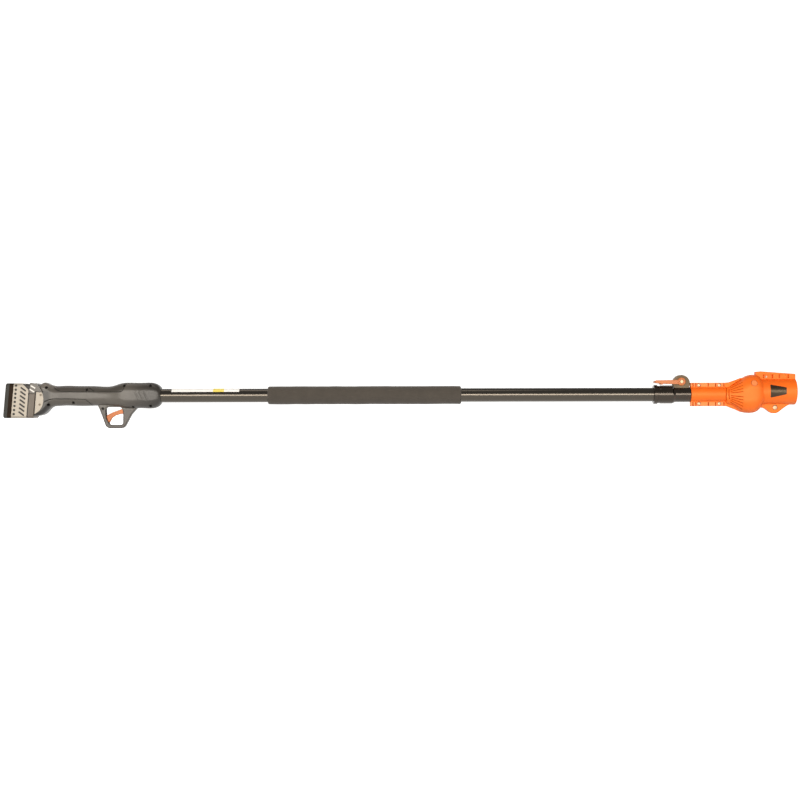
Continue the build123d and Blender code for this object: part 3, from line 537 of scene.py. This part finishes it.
# %% Foam
cell_mm = 1.6
cell_depth = 0.35 * mm
patch_mm = 25
foam_skin, tree, place_on = new_material("closed-cell foam")
cells = add_node(tree, "ShaderNodeTexVoronoi", {"Vector": place_on, "Scale": per_metre(cell_mm)})
patches = add_node(
    tree, "ShaderNodeTexNoise", {"Vector": place_on, "Scale": per_metre(patch_mm), "Detail": 5}
)
pores = add_node(
    tree, "ShaderNodeBump", {"Height": cells.outputs["Distance"], "Distance": cell_depth, "Strength": 0.8}
)
tint = add_node(
    tree,
    "ShaderNodeMix",
    {"Factor": patches.outputs["Fac"], mix_a: "#3F3932", mix_b: "#4D463E"},
    data_type="RGBA",
)
shader = add_node(
    tree,
    "ShaderNodeBsdfPrincipled",
    {
        "Base Color": tint.outputs[mix_out],
        "Roughness": 0.92,
        "Normal": pores.outputs["Normal"],
        "Sheen Weight": 0.15,
    },
)
add_node(tree, "ShaderNodeOutputMaterial", {"Surface": shader.outputs["BSDF"]})
print("foam cells", cell_mm, "mm")

# %% [markdown]
# The sticker on the tube is printed vinyl. Ink has no thickness to model, so its yellow block is a zone of
# the material, and the zone's path runs down, along and up round the block.

# %% Vinyl
# Vinyl film: white and a little hazy, with one plain yellow block
haze_mm = 12
yellow_block = side_path(mouth_x, [(-1336, 20), (-1336, 0), (-1311, 0), (-1311, 20)])
vinyl, tree, place_on = new_material("white vinyl with a yellow block")
haze = add_node(tree, "ShaderNodeTexNoise", {"Vector": place_on, "Scale": per_metre(haze_mm), "Detail": 4})
whites = add_node(
    tree,
    "ShaderNodeMix",
    {"Factor": haze.outputs["Fac"], mix_a: "#F2F0EA", mix_b: "#FFFFFF"},
    data_type="RGBA",
)
in_block = zone(tree, place_on, yellow_block, crisp_mm)
printed = add_node(
    tree,
    "ShaderNodeMix",
    {"Factor": in_block, mix_a: whites.outputs[mix_out], mix_b: "#F2DC66"},
    data_type="RGBA",
)
shader = add_node(
    tree, "ShaderNodeBsdfPrincipled", {"Base Color": printed.outputs[mix_out], "Roughness": 0.38}
)
add_node(tree, "ShaderNodeOutputMaterial", {"Surface": shader.outputs["BSDF"]})
print("finishes", len(bpy.data.materials))

# %% [markdown]
# ## Nodes that keep their shape
# Pieces hidden inside the casings are right as they are, so they only take a finish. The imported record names
# a material slot for each node, and a table here turns a slot into a finish.

# %% Finishes for every node
slot_finish = {
    "handle_plastic": grey_nylon,
    "orange_plastic": orange_abs,
    "black_plastic": black_nylon,
    "case_plastic": case_abs,
    "latch_plastic": latch_abs,
    "bush_plastic": acetal,
    "badge_plastic": badge_gloss,
    "foam": foam_skin,
    "tube": black_anodised,
    "silver": silver_paint,
    "steel": zinc_steel,
    "contact": bright_brass,
    "board": board_mask,
    "cable": cable_rubber,
    "cell": cell_sleeve,
}
behaviour = frame["record"]["behaviour"]
node_slot = {part["node"]: part["material_slot"] for part in frame["record"]["subparts"]}
node_body = {node: body for body, group in behaviour["bodies"].items() for node in group}
node_finish = {node: slot_finish[slot] for node, slot in node_slot.items()}
node_finish.update(
    {
        "battery_end_cap": brown_abs,
        "trigger": pale_orange,
        "cam_lever": pale_orange,
        "handle_screws": hole_shade_steel,
        "foot_plate_screws": dull_steel,
        "trigger_spring": spring_steel,
        "latch_spring_right": spring_steel,
        "latch_spring_left": spring_steel,
    }
)
for node, piece in frame["nodes"].items():
    piece.data.materials.clear()
    piece.data.materials.append(node_finish[node])
print("finishes set on", len(frame["nodes"]), "nodes")

# %% [markdown]
# ## Casings
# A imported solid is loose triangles, which show as facets on a curved casing. Modelling a casing anew would
# only leave its true shape, so a copy is merged, shaded smooth by angle, and given normals weighted by area.
# That keeps flat faces flat beside their rounded edges.

# %% Smooth copies of what shows
shown_nodes = (
    "handle_shell_right", "handle_shell_left", "foot_plate_right", "foot_plate_left", "foot_plate_screws",
    "trigger", "battery_case", "vent_band", "battery_end_cap", "latch_button_right", "latch_button_left",
    "clamp_collar", "cam_lever", "lever_pin", "lever_nut", "thrust_washers", "head_shell_right",
    "head_shell_left", "badge_right", "badge_left", "head_plug_right", "head_plug_left", "tool_connector",
    "lug_nut",
)
solid_weld = 0.004 * mm


def merged_copy(node):
    """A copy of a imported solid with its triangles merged."""
    piece = bpy.data.objects.new(f"{node}_skin", frame["nodes"][node].data.copy())
    bpy.context.scene.collection.objects.link(piece)
    edit_all(piece)
    bpy.ops.mesh.customdata_custom_splitnormals_clear()
    bpy.ops.mesh.remove_doubles(threshold=solid_weld)
    object_mode()
    return piece


def even_out(piece):
    """Smooth shading by angle, with each corner's normal weighted by the area of its faces."""
    smooth(piece)
    modify(piece, "WEIGHTED_NORMAL", keep_sharp=True)


skin = {}
for node in shown_nodes:
    skin[node] = place(merged_copy(node), node_body[node], node_finish[node], node_slot[node], node)
    even_out(skin[node])
print("smooth copies", len(skin))

# %% [markdown]
# ## Drawing on a casing
# Mould lines and ribs follow a casing's curved side. Each is drawn as a few points in the side view, rounded
# by cutting its corners, and cast onto the casing along Y. Casting finds the surface wherever it is, so no
# depth has to be measured by hand.


# %% Paths on a surface
def rounded_path(points, passes=3):
    """Cut a path's corners a few times, so that it bends smoothly."""
    for _ in range(passes):
        cut = [points[0]]
        for (x0, z0), (x1, z1) in zip(points, points[1:]):
            cut.append((0.75 * x0 + 0.25 * x1, 0.75 * z0 + 0.25 * z1))
            cut.append((0.25 * x0 + 0.75 * x1, 0.25 * z0 + 0.75 * z1))
        points = cut + [points[-1]]
    return points


def cast_path(piece, points, sign, step=2.0 * mm, cast_from=0.2):
    """Cast a side-view path onto a piece from outside, with points no further apart than a step."""
    bpy.context.view_layer.update()
    tree = BVHTree.FromObject(piece, bpy.context.evaluated_depsgraph_get())
    spots = []
    for (x0, z0), (x1, z1) in zip(points, points[1:]):
        count = max(1, math.ceil(math.hypot(x1 - x0, z1 - z0) / step))
        for k in range(count):
            part = k / count
            spots.append((x0 + (x1 - x0) * part, z0 + (z1 - z0) * part))
    spots.append(points[-1])
    cast = []
    for x, z in spots:
        hit = tree.ray_cast(Vector((x, sign * cast_from, z)), Vector((0, -sign, 0)))[0]
        if hit is not None:
            cast.append(hit)
    return cast


print("one corner is rounded to", len(rounded_path([(0, 0), (1, 0), (1, 1)])), "points")

# %% [markdown]
# A chain of edges through the points becomes a curve, and the curve's round bevel becomes a mesh again, as a
# bead. A bead can be added as a rib, or cut away as a groove, which takes real shade in every view where a
# painted line would not. The groove's faces also get a dark finish, as painted shade.

# %% Beads and grooves
bead_weld = 0.001 * mm


def edge_chain(name, points):
    """A new mesh that is one chain of edges: a vertex extruded from point to point."""
    bpy.ops.object.select_all(action="DESELECT")
    bpy.ops.mesh.primitive_plane_add(size=mm, location=(0, 0, 0))
    piece = bpy.context.object
    piece.name = name
    edit_all(piece)
    bpy.ops.mesh.merge(type="CENTER")
    bpy.ops.transform.translate(value=points[0])
    for previous, point in zip(points, points[1:]):
        bpy.ops.mesh.extrude_region_move(TRANSFORM_OT_translate={"value": point - previous})
    object_mode()
    return piece


def bead(name, points, radius, rounding=2):
    """A round bead along points."""
    piece = edge_chain(name, points)
    only(piece)
    bpy.ops.object.convert(target="CURVE")
    piece.data.bevel_depth = radius
    piece.data.bevel_resolution = rounding
    piece.data.use_fill_caps = True
    bpy.ops.object.convert(target="MESH")
    edit_all(piece)
    bpy.ops.mesh.remove_doubles(threshold=bead_weld)
    bpy.ops.mesh.normals_make_consistent(inside=False)
    object_mode()
    smooth(piece, angle=50)
    return piece


def joined(name, pieces):
    """Join several pieces into one."""
    bpy.ops.object.select_all(action="DESELECT")
    for piece in pieces:
        piece.select_set(True)
    bpy.context.view_layer.objects.active = pieces[0]
    if len(pieces) > 1:
        bpy.ops.object.join()
    pieces[0].name = name
    return pieces[0]


def cut_away(piece, cutter, **settings):
    """Cut one piece out of another, and remove the cutter."""
    modify(piece, "BOOLEAN", operation="DIFFERENCE", object=cutter, solver="EXACT", **settings)
    bpy.data.objects.remove(cutter)


def engrave(piece, paths, sign, radius, finish):
    """Cut beads along side-view paths out of a casing, and paint shade into the grooves with a dark finish."""
    cutters = [bead("cutter", cast_path(piece, path, sign), radius) for path in paths]
    cutter = joined("cutter", cutters)
    cutter.data.materials.clear()
    cutter.data.materials.append(finish)
    before = len(piece.data.polygons)
    cut_away(piece, cutter, material_mode="TRANSFER")
    return len(piece.data.polygons) - before


print("beads merge within", round(bead_weld / mm, 4), "mm")

# %% [markdown]
# ## Handle
# The soft grip is moulded over the nylon, and the edge where the two meet is a fine dark line on each side.
# The zones above only change the colour, so the lines are cut into both half shells along the same edges, and
# painted with shade inside.

# %% Grip lines
groove_r = 0.8 * mm
# Side-view points in millimetres from the handle's front and above the pole's axis
grip_lines = (
    [
        (-243.5, 19.1), (-238, 14.2), (-228.5, 10.0), (-212, 9.5),
        (-91, 8.4), (-87, 9.8), (-83.5, 14), (-77.5, 27),
    ],
    [(-163.2, 17.5), (-151, 10.4)],
    [(-264.9, -14.6), (-252, -7.4), (-240, -6.8), (-175, -7.8), (-168, -10.0), (-157, -21.5)],
)
for hand, sign in side_sign.items():
    paths = [rounded_path(side_path(handle_front, line)) for line in grip_lines]
    added = engrave(skin[f"handle_shell_{hand}"], paths, sign, groove_r, groove_shade_nylon)
    even_out(skin[f"handle_shell_{hand}"])
    print("grip lines", hand, "faces added", added)

# %% [markdown]
# The nose of the handle carries three slanted ribs that are hardly raised. A thin bead laid on it would stand
# up like a wire, so each rib is a thick bead sunk almost whole into the shell, and only its low broad back
# shows.

# %% Nose ribs
rib_count = 3
rib_gap = 10
rib_head, rib_foot = (-58, 10), (-48, -9)
rib_r = 5.0 * mm
rib_sink = 4.5 * mm
for hand, sign in side_sign.items():
    ribs = []
    for k in range(rib_count):
        line = side_path(handle_front + k * rib_gap * mm, [rib_foot, rib_head])
        spots = cast_path(skin[f"handle_shell_{hand}"], line, sign)
        sunk = [spot - Vector((0, sign * rib_sink, 0)) for spot in spots]
        ribs.append(bead("rib", sunk, rib_r, rounding=8))
    place(joined(f"nose_ribs_{hand}", ribs), "handle_and_pole", grey_nylon, "handle_plastic")
print("nose ribs stand out", round((rib_r - rib_sink) / mm, 2), "mm")

# %% [markdown]
# ## Battery end
# The end cap has a grey bumper moulded on its back edge, and the latch buttons' two slanted ridges are white.
# Both lie on the casing itself, so nothing new is laid over it: the cap is bisected where the bumper starts,
# and the faces beyond the cut, or on the ridges, take a second finish.


# %% Bumper and ridges
def refinish(piece, finish, test):
    """Give the faces that pass a test another finish, and say how many they are."""
    piece.data.materials.append(finish)
    pick_faces(piece, test)
    piece.active_material_index = len(piece.data.materials) - 1
    bpy.ops.object.material_slot_assign()
    object_mode()
    return sum(face.material_index == piece.active_material_index for face in piece.data.polygons)


cap_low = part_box("battery_end_cap")[0]
bumper_depth = 9.0 * mm
bumper_edge = Vector((cap_low.x + bumper_depth, 0, cap_low.z))
bumper_normal = Vector((1, 0, -battery_lean))
cap = skin["battery_end_cap"]
edit_all(cap)
bpy.ops.mesh.bisect(plane_co=bumper_edge, plane_no=bumper_normal)
object_mode()
even_out(cap)
bumper_faces = refinish(cap, bumper_rubber, lambda face: (face.center - bumper_edge).dot(bumper_normal) < 0)
print("bumper faces", bumper_faces)
ridge_from = 30.45 * mm
for hand in side_sign:
    button = skin[f"latch_button_{hand}"]
    ridge_faces = refinish(button, white_ridge, lambda face: abs(face.center.y) > ridge_from)
    print("ridge faces", hand, ridge_faces)

# %% [markdown]
# A coil spring behind each latch button is squeezed as the button goes in. Riding on the case it would run
# into the button, and riding on the button into the case. Here each coil is a smoothed copy on a mesh of its
# own, set on its body, and keeps its shape.

# %% Latch springs
for hand in side_sign:
    node, joint = f"latch_spring_{hand}", f"latch_press_{hand}"
    coil = place(merged_copy(node), node_body[node], spring_steel, node_slot[node], node)
    even_out(coil)
    low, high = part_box(node)
    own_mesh(coil)

# %% [markdown]
# ## Clamp
# The clamp's collar is turned smooth below, and its two ears above carry the lever's pin. They are one
# moulding, so the ears are told apart by where their faces lie, and take a matt brown-grey, painted as the
# reflection of the light in their flat faces.

# %% Clamp ears
ears_from = Vector((-284 * mm, 0, pole_z + 17.0 * mm))
ear_faces = refinish(
    skin["clamp_collar"],
    ear_painted_reflection,
    lambda face: face.center.x > ears_from.x and face.center.z > ears_from.z,
)
print("ear faces", ear_faces)

# %% [markdown]
# ## Tool head
# Where the sleeve swells into the bulb, a fan of fine lines opens towards the socket, above and below the
# middle, and two bowed lines mark the start of the bulb. Short lines part the blocks of the top rail. All of
# them are cut into the half shells at once, because each boolean costs time, and painted with shade inside.
# The gaps between the sleeve's blocks are there already, and only take the same painted shade.

# %% Fan lines
# Side-view places in millimetres from the socket's mouth and above the pole's axis
fan_from, fan_to = -151, -124
fan_starts = (3.0, 6.6, 10.2, 13.8, 17.4)
fan_spread = 2.0
fan_r = 0.9 * mm
bow_lines = (
    [(-158.2, 15.5), (-160.4, 10), (-161.0, 0), (-160.4, -10), (-158.2, -15.5)],
    [(-153.4, 11), (-154.6, 6), (-155.0, 0), (-154.6, -6), (-153.4, -11)],
)
rail_gaps = (-73.7, -52.0, -37.4, -16.0)
rail_low, rail_high = 37.0, 45.8
sleeve_gaps = (-234.8, -228.2, -199.8, -182.6, -163.8)
gap_half_width = 1.25 * mm
flange_face = 6.4 * mm
flange_from = 17.7 * mm


def in_sleeve_gap(face):
    """Whether a face lies in one of the gaps between the sleeve's blocks."""
    near = min(abs(face.center.x - x * mm) for x in sleeve_gaps) < gap_half_width
    on_flange = abs(face.center.y) < flange_face and abs(face.center.z - pole_z) > flange_from
    return near and on_flange


head_lines = [
    side_path(mouth_x, [(fan_from, up * v), (fan_to, up * v * fan_spread)])
    for v in fan_starts
    for up in (1, -1)
]
head_lines += [rounded_path(side_path(mouth_x, line)) for line in bow_lines]
head_lines += [side_path(mouth_x, [(x, rail_low), (x, rail_high)]) for x in rail_gaps]
for hand, sign in side_sign.items():
    shell = skin[f"head_shell_{hand}"]
    cuts = engrave(shell, head_lines, sign, fan_r, orange_groove_shade)
    even_out(shell)
    gaps = refinish(shell, orange_groove_shade, in_sleeve_gap)
    print("head lines", hand, "faces added", cuts, "faces in gaps", gaps)

# %% [markdown]
# A round plug closes a hole in each side of the bulb. It is painted a lighter orange all over, as light on its
# shaded face. Its rounded rim lies in the shade of the hole and is painted with shade. The rim is found by its
# distance from the plug's axis.

# %% Plug rims
plug_r = 7.2 * mm
plug_rim = 0.6 * mm
for hand in side_sign:
    plug = skin[f"head_plug_{hand}"]
    low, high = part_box(f"head_plug_{hand}")
    plug_axis = ((low + high) / 2).xz
    refinish(plug, plug_painted_light_orange, lambda face: True)
    rim_faces = refinish(
        plug, orange_groove_shade, lambda face: math.dist(face.center.xz, plug_axis) > plug_r - plug_rim
    )
    print("plug rim", hand, rim_faces, "faces")

# %% [markdown]
# ## Turned pieces
# The tubes, the foam and the screws are all round, so they are turned: a chain of edges follows the profile
# in axial and radial steps, and is spun round the axis. A plain cylinder would lack the bore and the broken
# edges that catch the light.

# %% Lathe and tubes
spin_weld = 0.002 * mm
tube_edge = 0.4 * mm


def lathe(name, profile, centre, axis, steps=96, sweep=360.0, start=0.0):
    """Spin a profile of (distance along the axis, radius) round an axis across Z through a centre."""
    along = Vector(axis)
    out = Vector((0, 0, 1))
    out.rotate(Quaternion(along, math.radians(start)))
    points = [Vector(centre) + along * distance + out * radius for distance, radius in profile]
    piece = edge_chain(name, points)
    edit_all(piece)
    bpy.ops.mesh.spin(steps=steps, angle=math.radians(sweep), center=centre, axis=along)
    bpy.ops.mesh.select_all(action="SELECT")
    bpy.ops.mesh.remove_doubles(threshold=spin_weld)
    bpy.ops.mesh.normals_make_consistent(inside=False)
    object_mode()
    return piece


def pole_tube(name, node, body, finish, bore_r):
    """A thin tube along the pole, as long and as wide as its node, with its edges broken."""
    low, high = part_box(node)
    outer = (high.y - low.y) / 2
    length = high.x - low.x
    profile = (
        (0, bore_r),
        (0, outer - tube_edge),
        (tube_edge, outer),
        (length - tube_edge, outer),
        (length, outer - tube_edge),
        (length, bore_r),
        (0, bore_r),
    )
    piece = lathe(name, profile, (low.x, 0, pole_z), (1, 0, 0))
    smooth(piece)
    place(piece, body, finish, "tube", node)
    print(name, round(length, 3), "m long,", round((outer - bore_r) / mm, 2), "mm wall")


pole_tube("outer_pole", "outer_tube", "handle_and_pole", black_anodised, bore_r=14.5 * mm)
pole_tube("inner_pole", "inner_tube", "inner_pole", polished_black, bore_r=12.5 * mm)

# %% [markdown]
# ## Curly cable
# Inside the outer tube a curly cable carries the power to the inner one, and opens out as the pole is drawn
# longer. A ring as thick as the cable is driven round and along the axis by a Screw modifier, which makes
# every turn alike.

# %% Curly cable
coil_low, coil_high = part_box("coil_cable")
cable_r = 2.6 * mm
cable_sides = 12
coil_turns = 40
coil_steps = 24
coil_r = (coil_high.z - coil_low.z) / 2 - cable_r
coil_pitch = (coil_high.x - coil_low.x - 2 * cable_r) / coil_turns
coil_start = (coil_low.x + cable_r, 0, pole_z)
bpy.ops.object.select_all(action="DESELECT")
bpy.ops.mesh.primitive_circle_add(vertices=cable_sides, radius=cable_r, location=coil_start)
curly_cable = bpy.context.object
curly_cable.name = "curly_cable"
edit_all(curly_cable)
bpy.ops.transform.rotate(value=math.radians(90), orient_axis="X", center_override=coil_start)
bpy.ops.transform.translate(value=(0, 0, coil_r))
object_mode()
modify(
    curly_cable,
    "SCREW",
    axis="X",
    screw_offset=coil_pitch,
    iterations=coil_turns,
    steps=coil_steps,
    render_steps=coil_steps,
)
edit_all(curly_cable)
bpy.ops.mesh.fill_holes(sides=0)
bpy.ops.mesh.normals_make_consistent(inside=False)
object_mode()
smooth(curly_cable, angle=60)
curly_cable.data.materials.append(cable_rubber)
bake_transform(curly_cable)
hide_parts("coil_cable")
print("curly cable", coil_turns, "turns,", round(coil_turns * 2 * math.pi * coil_r, 2), "m of cable")

# %% [markdown]
# ## Foam grip
# The grip is a foam sleeve pushed over the tube. It is turned with rounded ends and many rings, and a soft
# cloud of displacement makes it slightly uneven, as a foam extrusion is. A bump alone would leave its
# outline ruler-straight.

# %% Foam grip
foam_low, foam_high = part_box("foam_grip")
foam_length = foam_high.x - foam_low.x
foam_round = 4.0 * mm
foam_round_steps = 6
foam_rings = 110
foam_unevenness = 0.5 * mm
cloud_size = 30 * mm
skin_r = (foam_high.z - foam_low.z) / 2 - foam_unevenness
angles = [math.radians(90 * k / foam_round_steps) for k in range(foam_round_steps + 1)]
rear_end = [(foam_round * (1 - math.cos(a)), skin_r - foam_round * (1 - math.sin(a))) for a in angles]
straight = foam_length - 2 * foam_round
rings = [(foam_round + straight * k / foam_rings, skin_r) for k in range(1, foam_rings)]
front_end = [(foam_length - distance, radius) for distance, radius in reversed(rear_end)]
profile = [(0, tube_r)] + rear_end + rings + front_end + [(foam_length, tube_r), (0, tube_r)]
foam_sleeve = lathe("foam_sleeve", profile, (foam_low.x, 0, pole_z), (1, 0, 0), steps=72)
clouds = bpy.data.textures.new("foam clouds", "CLOUDS")
clouds.noise_scale = cloud_size
modify(
    foam_sleeve,
    "DISPLACE",
    texture=clouds,
    texture_coords="LOCAL",
    strength=2 * foam_unevenness,
    mid_level=0.5,
)
smooth(foam_sleeve, angle=50)
place(foam_sleeve, "handle_and_pole", foam_skin, "foam", "foam_grip")
print("foam", len(foam_sleeve.data.polygons), "faces")

# %% [markdown]
# ## Sticker
# A thin vinyl label is wrapped over the upper front of the tube. A flat plane would have to be bent, so it is
# a strip spun round the tube's axis over part of a turn, and given a tenth of a millimetre of thickness.

# %% Sticker
label_from, label_to = -1431 * mm, -1276 * mm
label_steps = 12
label_lowest_deg, label_sweep_deg = 31.0, 75.0
label_t = 0.12 * mm
label_lift = 0.03 * mm
label_length = label_to - label_from
label = lathe(
    "tube_label",
    [(label_length * k / label_steps, tube_r + label_lift) for k in range(label_steps + 1)],
    (label_from, 0, pole_z),
    (1, 0, 0),
    steps=24,
    sweep=label_sweep_deg,
    start=90 - label_lowest_deg,
)
modify(label, "SOLIDIFY", thickness=label_t, offset=1.0)
smooth(label)
place(label, "handle_and_pole", vinyl, "silver")
print("label", round(label_length / mm, 1), "mm long, over", label_sweep_deg, "degrees of the tube")

# %% [markdown]
# ## Screws
# The head's screws are domed, with a hexagon socket. One of each kind is turned, the socket is cut with a
# six-sided cylinder, and the others are copies moved to their holes, because screws of one kind are alike.

# %% Screws
# Height and radius of the dome's rings, as shares of the head's
dome = ((0.45, 1.0), (0.75, 0.92), (0.94, 0.74), (1.0, 0.56))
socket_r_share, socket_depth_share = 0.46, 1.2


def screw_set(name, node, head_r, head_t, shank_r):
    """Screws at the corners of their node's box, or one in its middle, with their heads towards -Y."""
    low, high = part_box(node)
    columns = sorted({round(x, 5) for x in (low.x + head_r, high.x - head_r)})
    rows = sorted({round(z, 5) for z in (low.z + head_r, high.z - head_r)})
    holes = [(x, z) for x in columns for z in rows]
    seat = Vector((columns[0], low.y + head_t, rows[0]))
    tip = high.y - seat.y
    shank = [(-tip, 0.0), (-tip, shank_r), (0.0, shank_r), (0.0, head_r)]
    head = [(height * head_t, radius * head_r) for height, radius in dome]
    first = lathe(name, shank + head + [(head_t, 0.0)], seat, (0, -1, 0), steps=36)
    bpy.ops.object.select_all(action="DESELECT")
    bpy.ops.mesh.primitive_cylinder_add(
        vertices=6,
        radius=socket_r_share * head_r,
        depth=socket_depth_share * head_t,
        location=(seat.x, low.y, seat.z),
        rotation=(math.radians(90), 0, 0),
    )
    cut_away(first, bpy.context.object)
    screws = [first]
    for x, z in holes[1:]:
        copy = bpy.data.objects.new(name, first.data.copy())
        bpy.context.scene.collection.objects.link(copy)
        edit_all(copy)
        bpy.ops.transform.translate(value=(x - seat.x, 0, z - seat.z))
        object_mode()
        screws.append(copy)
    piece = joined(name, screws)
    smooth(piece)
    place(piece, "inner_pole", zinc_steel, "steel", node)
    print(name, len(holes), "of", round(head_r / mm, 1), "mm radius")


screw_set("sleeve_screw_set", "sleeve_screws", head_r=4.2 * mm, head_t=2.4 * mm, shank_r=1.6 * mm)
screw_set("rail_screw_head", "rail_screw", head_r=3.0 * mm, head_t=2.2 * mm, shank_r=1.4 * mm)
screw_set("lug_screw_head", "lug_bolt", head_r=5.6 * mm, head_t=3.0 * mm, shank_r=2.4 * mm)

# %% [markdown]
# ## Lever eye
# The cam lever turns on a pin, and a raised ring is moulded round the pin's hole on both of its cheeks.
# Each ring is one turned profile with sloping shoulders, which a torus wouldn't have, and its foot is sunk
# into the cheek so that no gap shows.

# %% Lever eye rings
pin_low, pin_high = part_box("lever_pin")
lever_low, lever_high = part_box("cam_lever")
# Distance out of the cheek and radius, in millimetres
ring_profile = ((-0.4, 5.9), (0.5, 6.1), (0.8, 6.8), (0.8, 7.6), (0.5, 8.3), (-0.4, 8.5), (-0.4, 5.9))
profile = [(distance * mm, radius * mm) for distance, radius in ring_profile]
eye_rings = []
for sign, cheek in ((-1, lever_low.y), (1, lever_high.y)):
    centre = ((pin_low.x + pin_high.x) / 2, cheek, (pin_low.z + pin_high.z) / 2)
    eye_rings.append(lathe("eye_ring", profile, centre, (0, sign, 0), steps=48))
eye_ring = joined("lever_eye_rings", eye_rings)
smooth(eye_ring)
place(eye_ring, "clamp_lever", pale_orange, "orange_plastic")
print("eye rings", len(eye_ring.data.polygons), "faces")

# %% [markdown]
# ## Floor and light
# The pole lies over a pale floor that sweeps up behind it, so that no horizon shows. So much white would also
# light every matt casing from below and wash it out. The floor is therefore hidden from diffuse rays, while
# the glossy tubes still mirror it.

# %% Floor
floor_z = cad_box[0].z - 0.5 * mm
floor_half = 14.0
wall_y = 6.0
wall_top = 7.0
sweep_r = 2.5
fibre_mm = 300
bpy.ops.object.select_all(action="DESELECT")
bpy.ops.mesh.primitive_plane_add(size=2 * floor_half, location=(aim_x, wall_y - floor_half, floor_z))
floor = bpy.context.object
floor.name = "floor"
bpy.ops.object.transform_apply(location=True, rotation=True, scale=True)
bpy.ops.object.mode_set(mode="EDIT")
bpy.ops.mesh.select_mode(type="EDGE")
bpy.ops.mesh.select_all(action="DESELECT")
object_mode()
for edge in floor.data.edges:
    ends = [floor.data.vertices[i].co for i in edge.vertices]
    edge.select = all(abs(end.y - wall_y) < mm for end in ends)
bpy.ops.object.mode_set(mode="EDIT")
bpy.ops.mesh.extrude_region_move(TRANSFORM_OT_translate={"value": (0, 0, wall_top)})
object_mode()
modify(floor, "BEVEL", width=sweep_r, segments=16, limit_method="ANGLE")
smooth(floor, angle=60)
# Studio paper: matt and almost white, with a little light of its own in place of lamps on the backdrop
paper, tree, place_on = new_material("pale paper")
fibre = add_node(tree, "ShaderNodeTexNoise", {"Vector": place_on, "Scale": per_metre(fibre_mm), "Detail": 2})
tint = add_node(
    tree,
    "ShaderNodeMix",
    {"Factor": fibre.outputs["Fac"], mix_a: "#F2F1EE", mix_b: "#F6F5F2"},
    data_type="RGBA",
)
shader = add_node(
    tree,
    "ShaderNodeBsdfPrincipled",
    {
        "Base Color": tint.outputs[mix_out],
        "Roughness": 0.9,
        "Specular IOR Level": 0.0,
        "Emission Color": "#FFFFFF",
        "Emission Strength": 0.9,
    },
)
add_node(tree, "ShaderNodeOutputMaterial", {"Surface": shader.outputs["BSDF"]})
floor.data.materials.append(paper)
floor.visible_diffuse = False
print("floor at", round(floor_z / mm, 1), "mm")

# %% [markdown]
# A wide softbox near the camera gives the round pieces their bright middle line. A second one behind the pole
# lights its back edges, and a weak narrow one above the handle brings out the handle's top. Lamps without
# size would give hard shadows instead.

# %% Lights
warm_white, plain_white = "#FFF8EE", "#FFFFFF"
world_grey, world_strength = "#DADADA", 0.42


def softbox(name, place_at, look_at, width, height, watts, colour):
    """A rectangular area light that faces a point."""
    data = bpy.data.lights.new(name, "AREA")
    data.shape = "RECTANGLE"
    data.size = width
    data.size_y = height
    data.energy = watts
    data.color = linear(colour)[:3]
    lamp = bpy.data.objects.new(name, data)
    lamp.location = place_at
    lamp.rotation_euler = (Vector(look_at) - Vector(place_at)).to_track_quat("-Z", "Y").to_euler()
    bpy.context.scene.collection.objects.link(lamp)


middle = (aim_x, 0, pole_z)
over_handle = (-1.35, 0, pole_z)
softbox("front softbox", (aim_x, -3.0, 0.25), middle, width=4.0, height=0.7, watts=108, colour=warm_white)
softbox("back softbox", (aim_x, 3.2, 1.2), middle, width=4.0, height=1.2, watts=30, colour=plain_white)
softbox("top softbox", (-1.50, 0.1, 1.5), over_handle, width=0.5, height=2.4, watts=6, colour=warm_white)
world = bpy.data.worlds.new("studio")
world.use_nodes = True
world.node_tree.nodes["Background"].inputs["Color"].default_value = linear(world_grey)
world.node_tree.nodes["Background"].inputs["Strength"].default_value = world_strength
bpy.context.scene.world = world
bpy.context.scene.view_settings.view_transform = "Standard"
print("lights", len(bpy.data.lights))
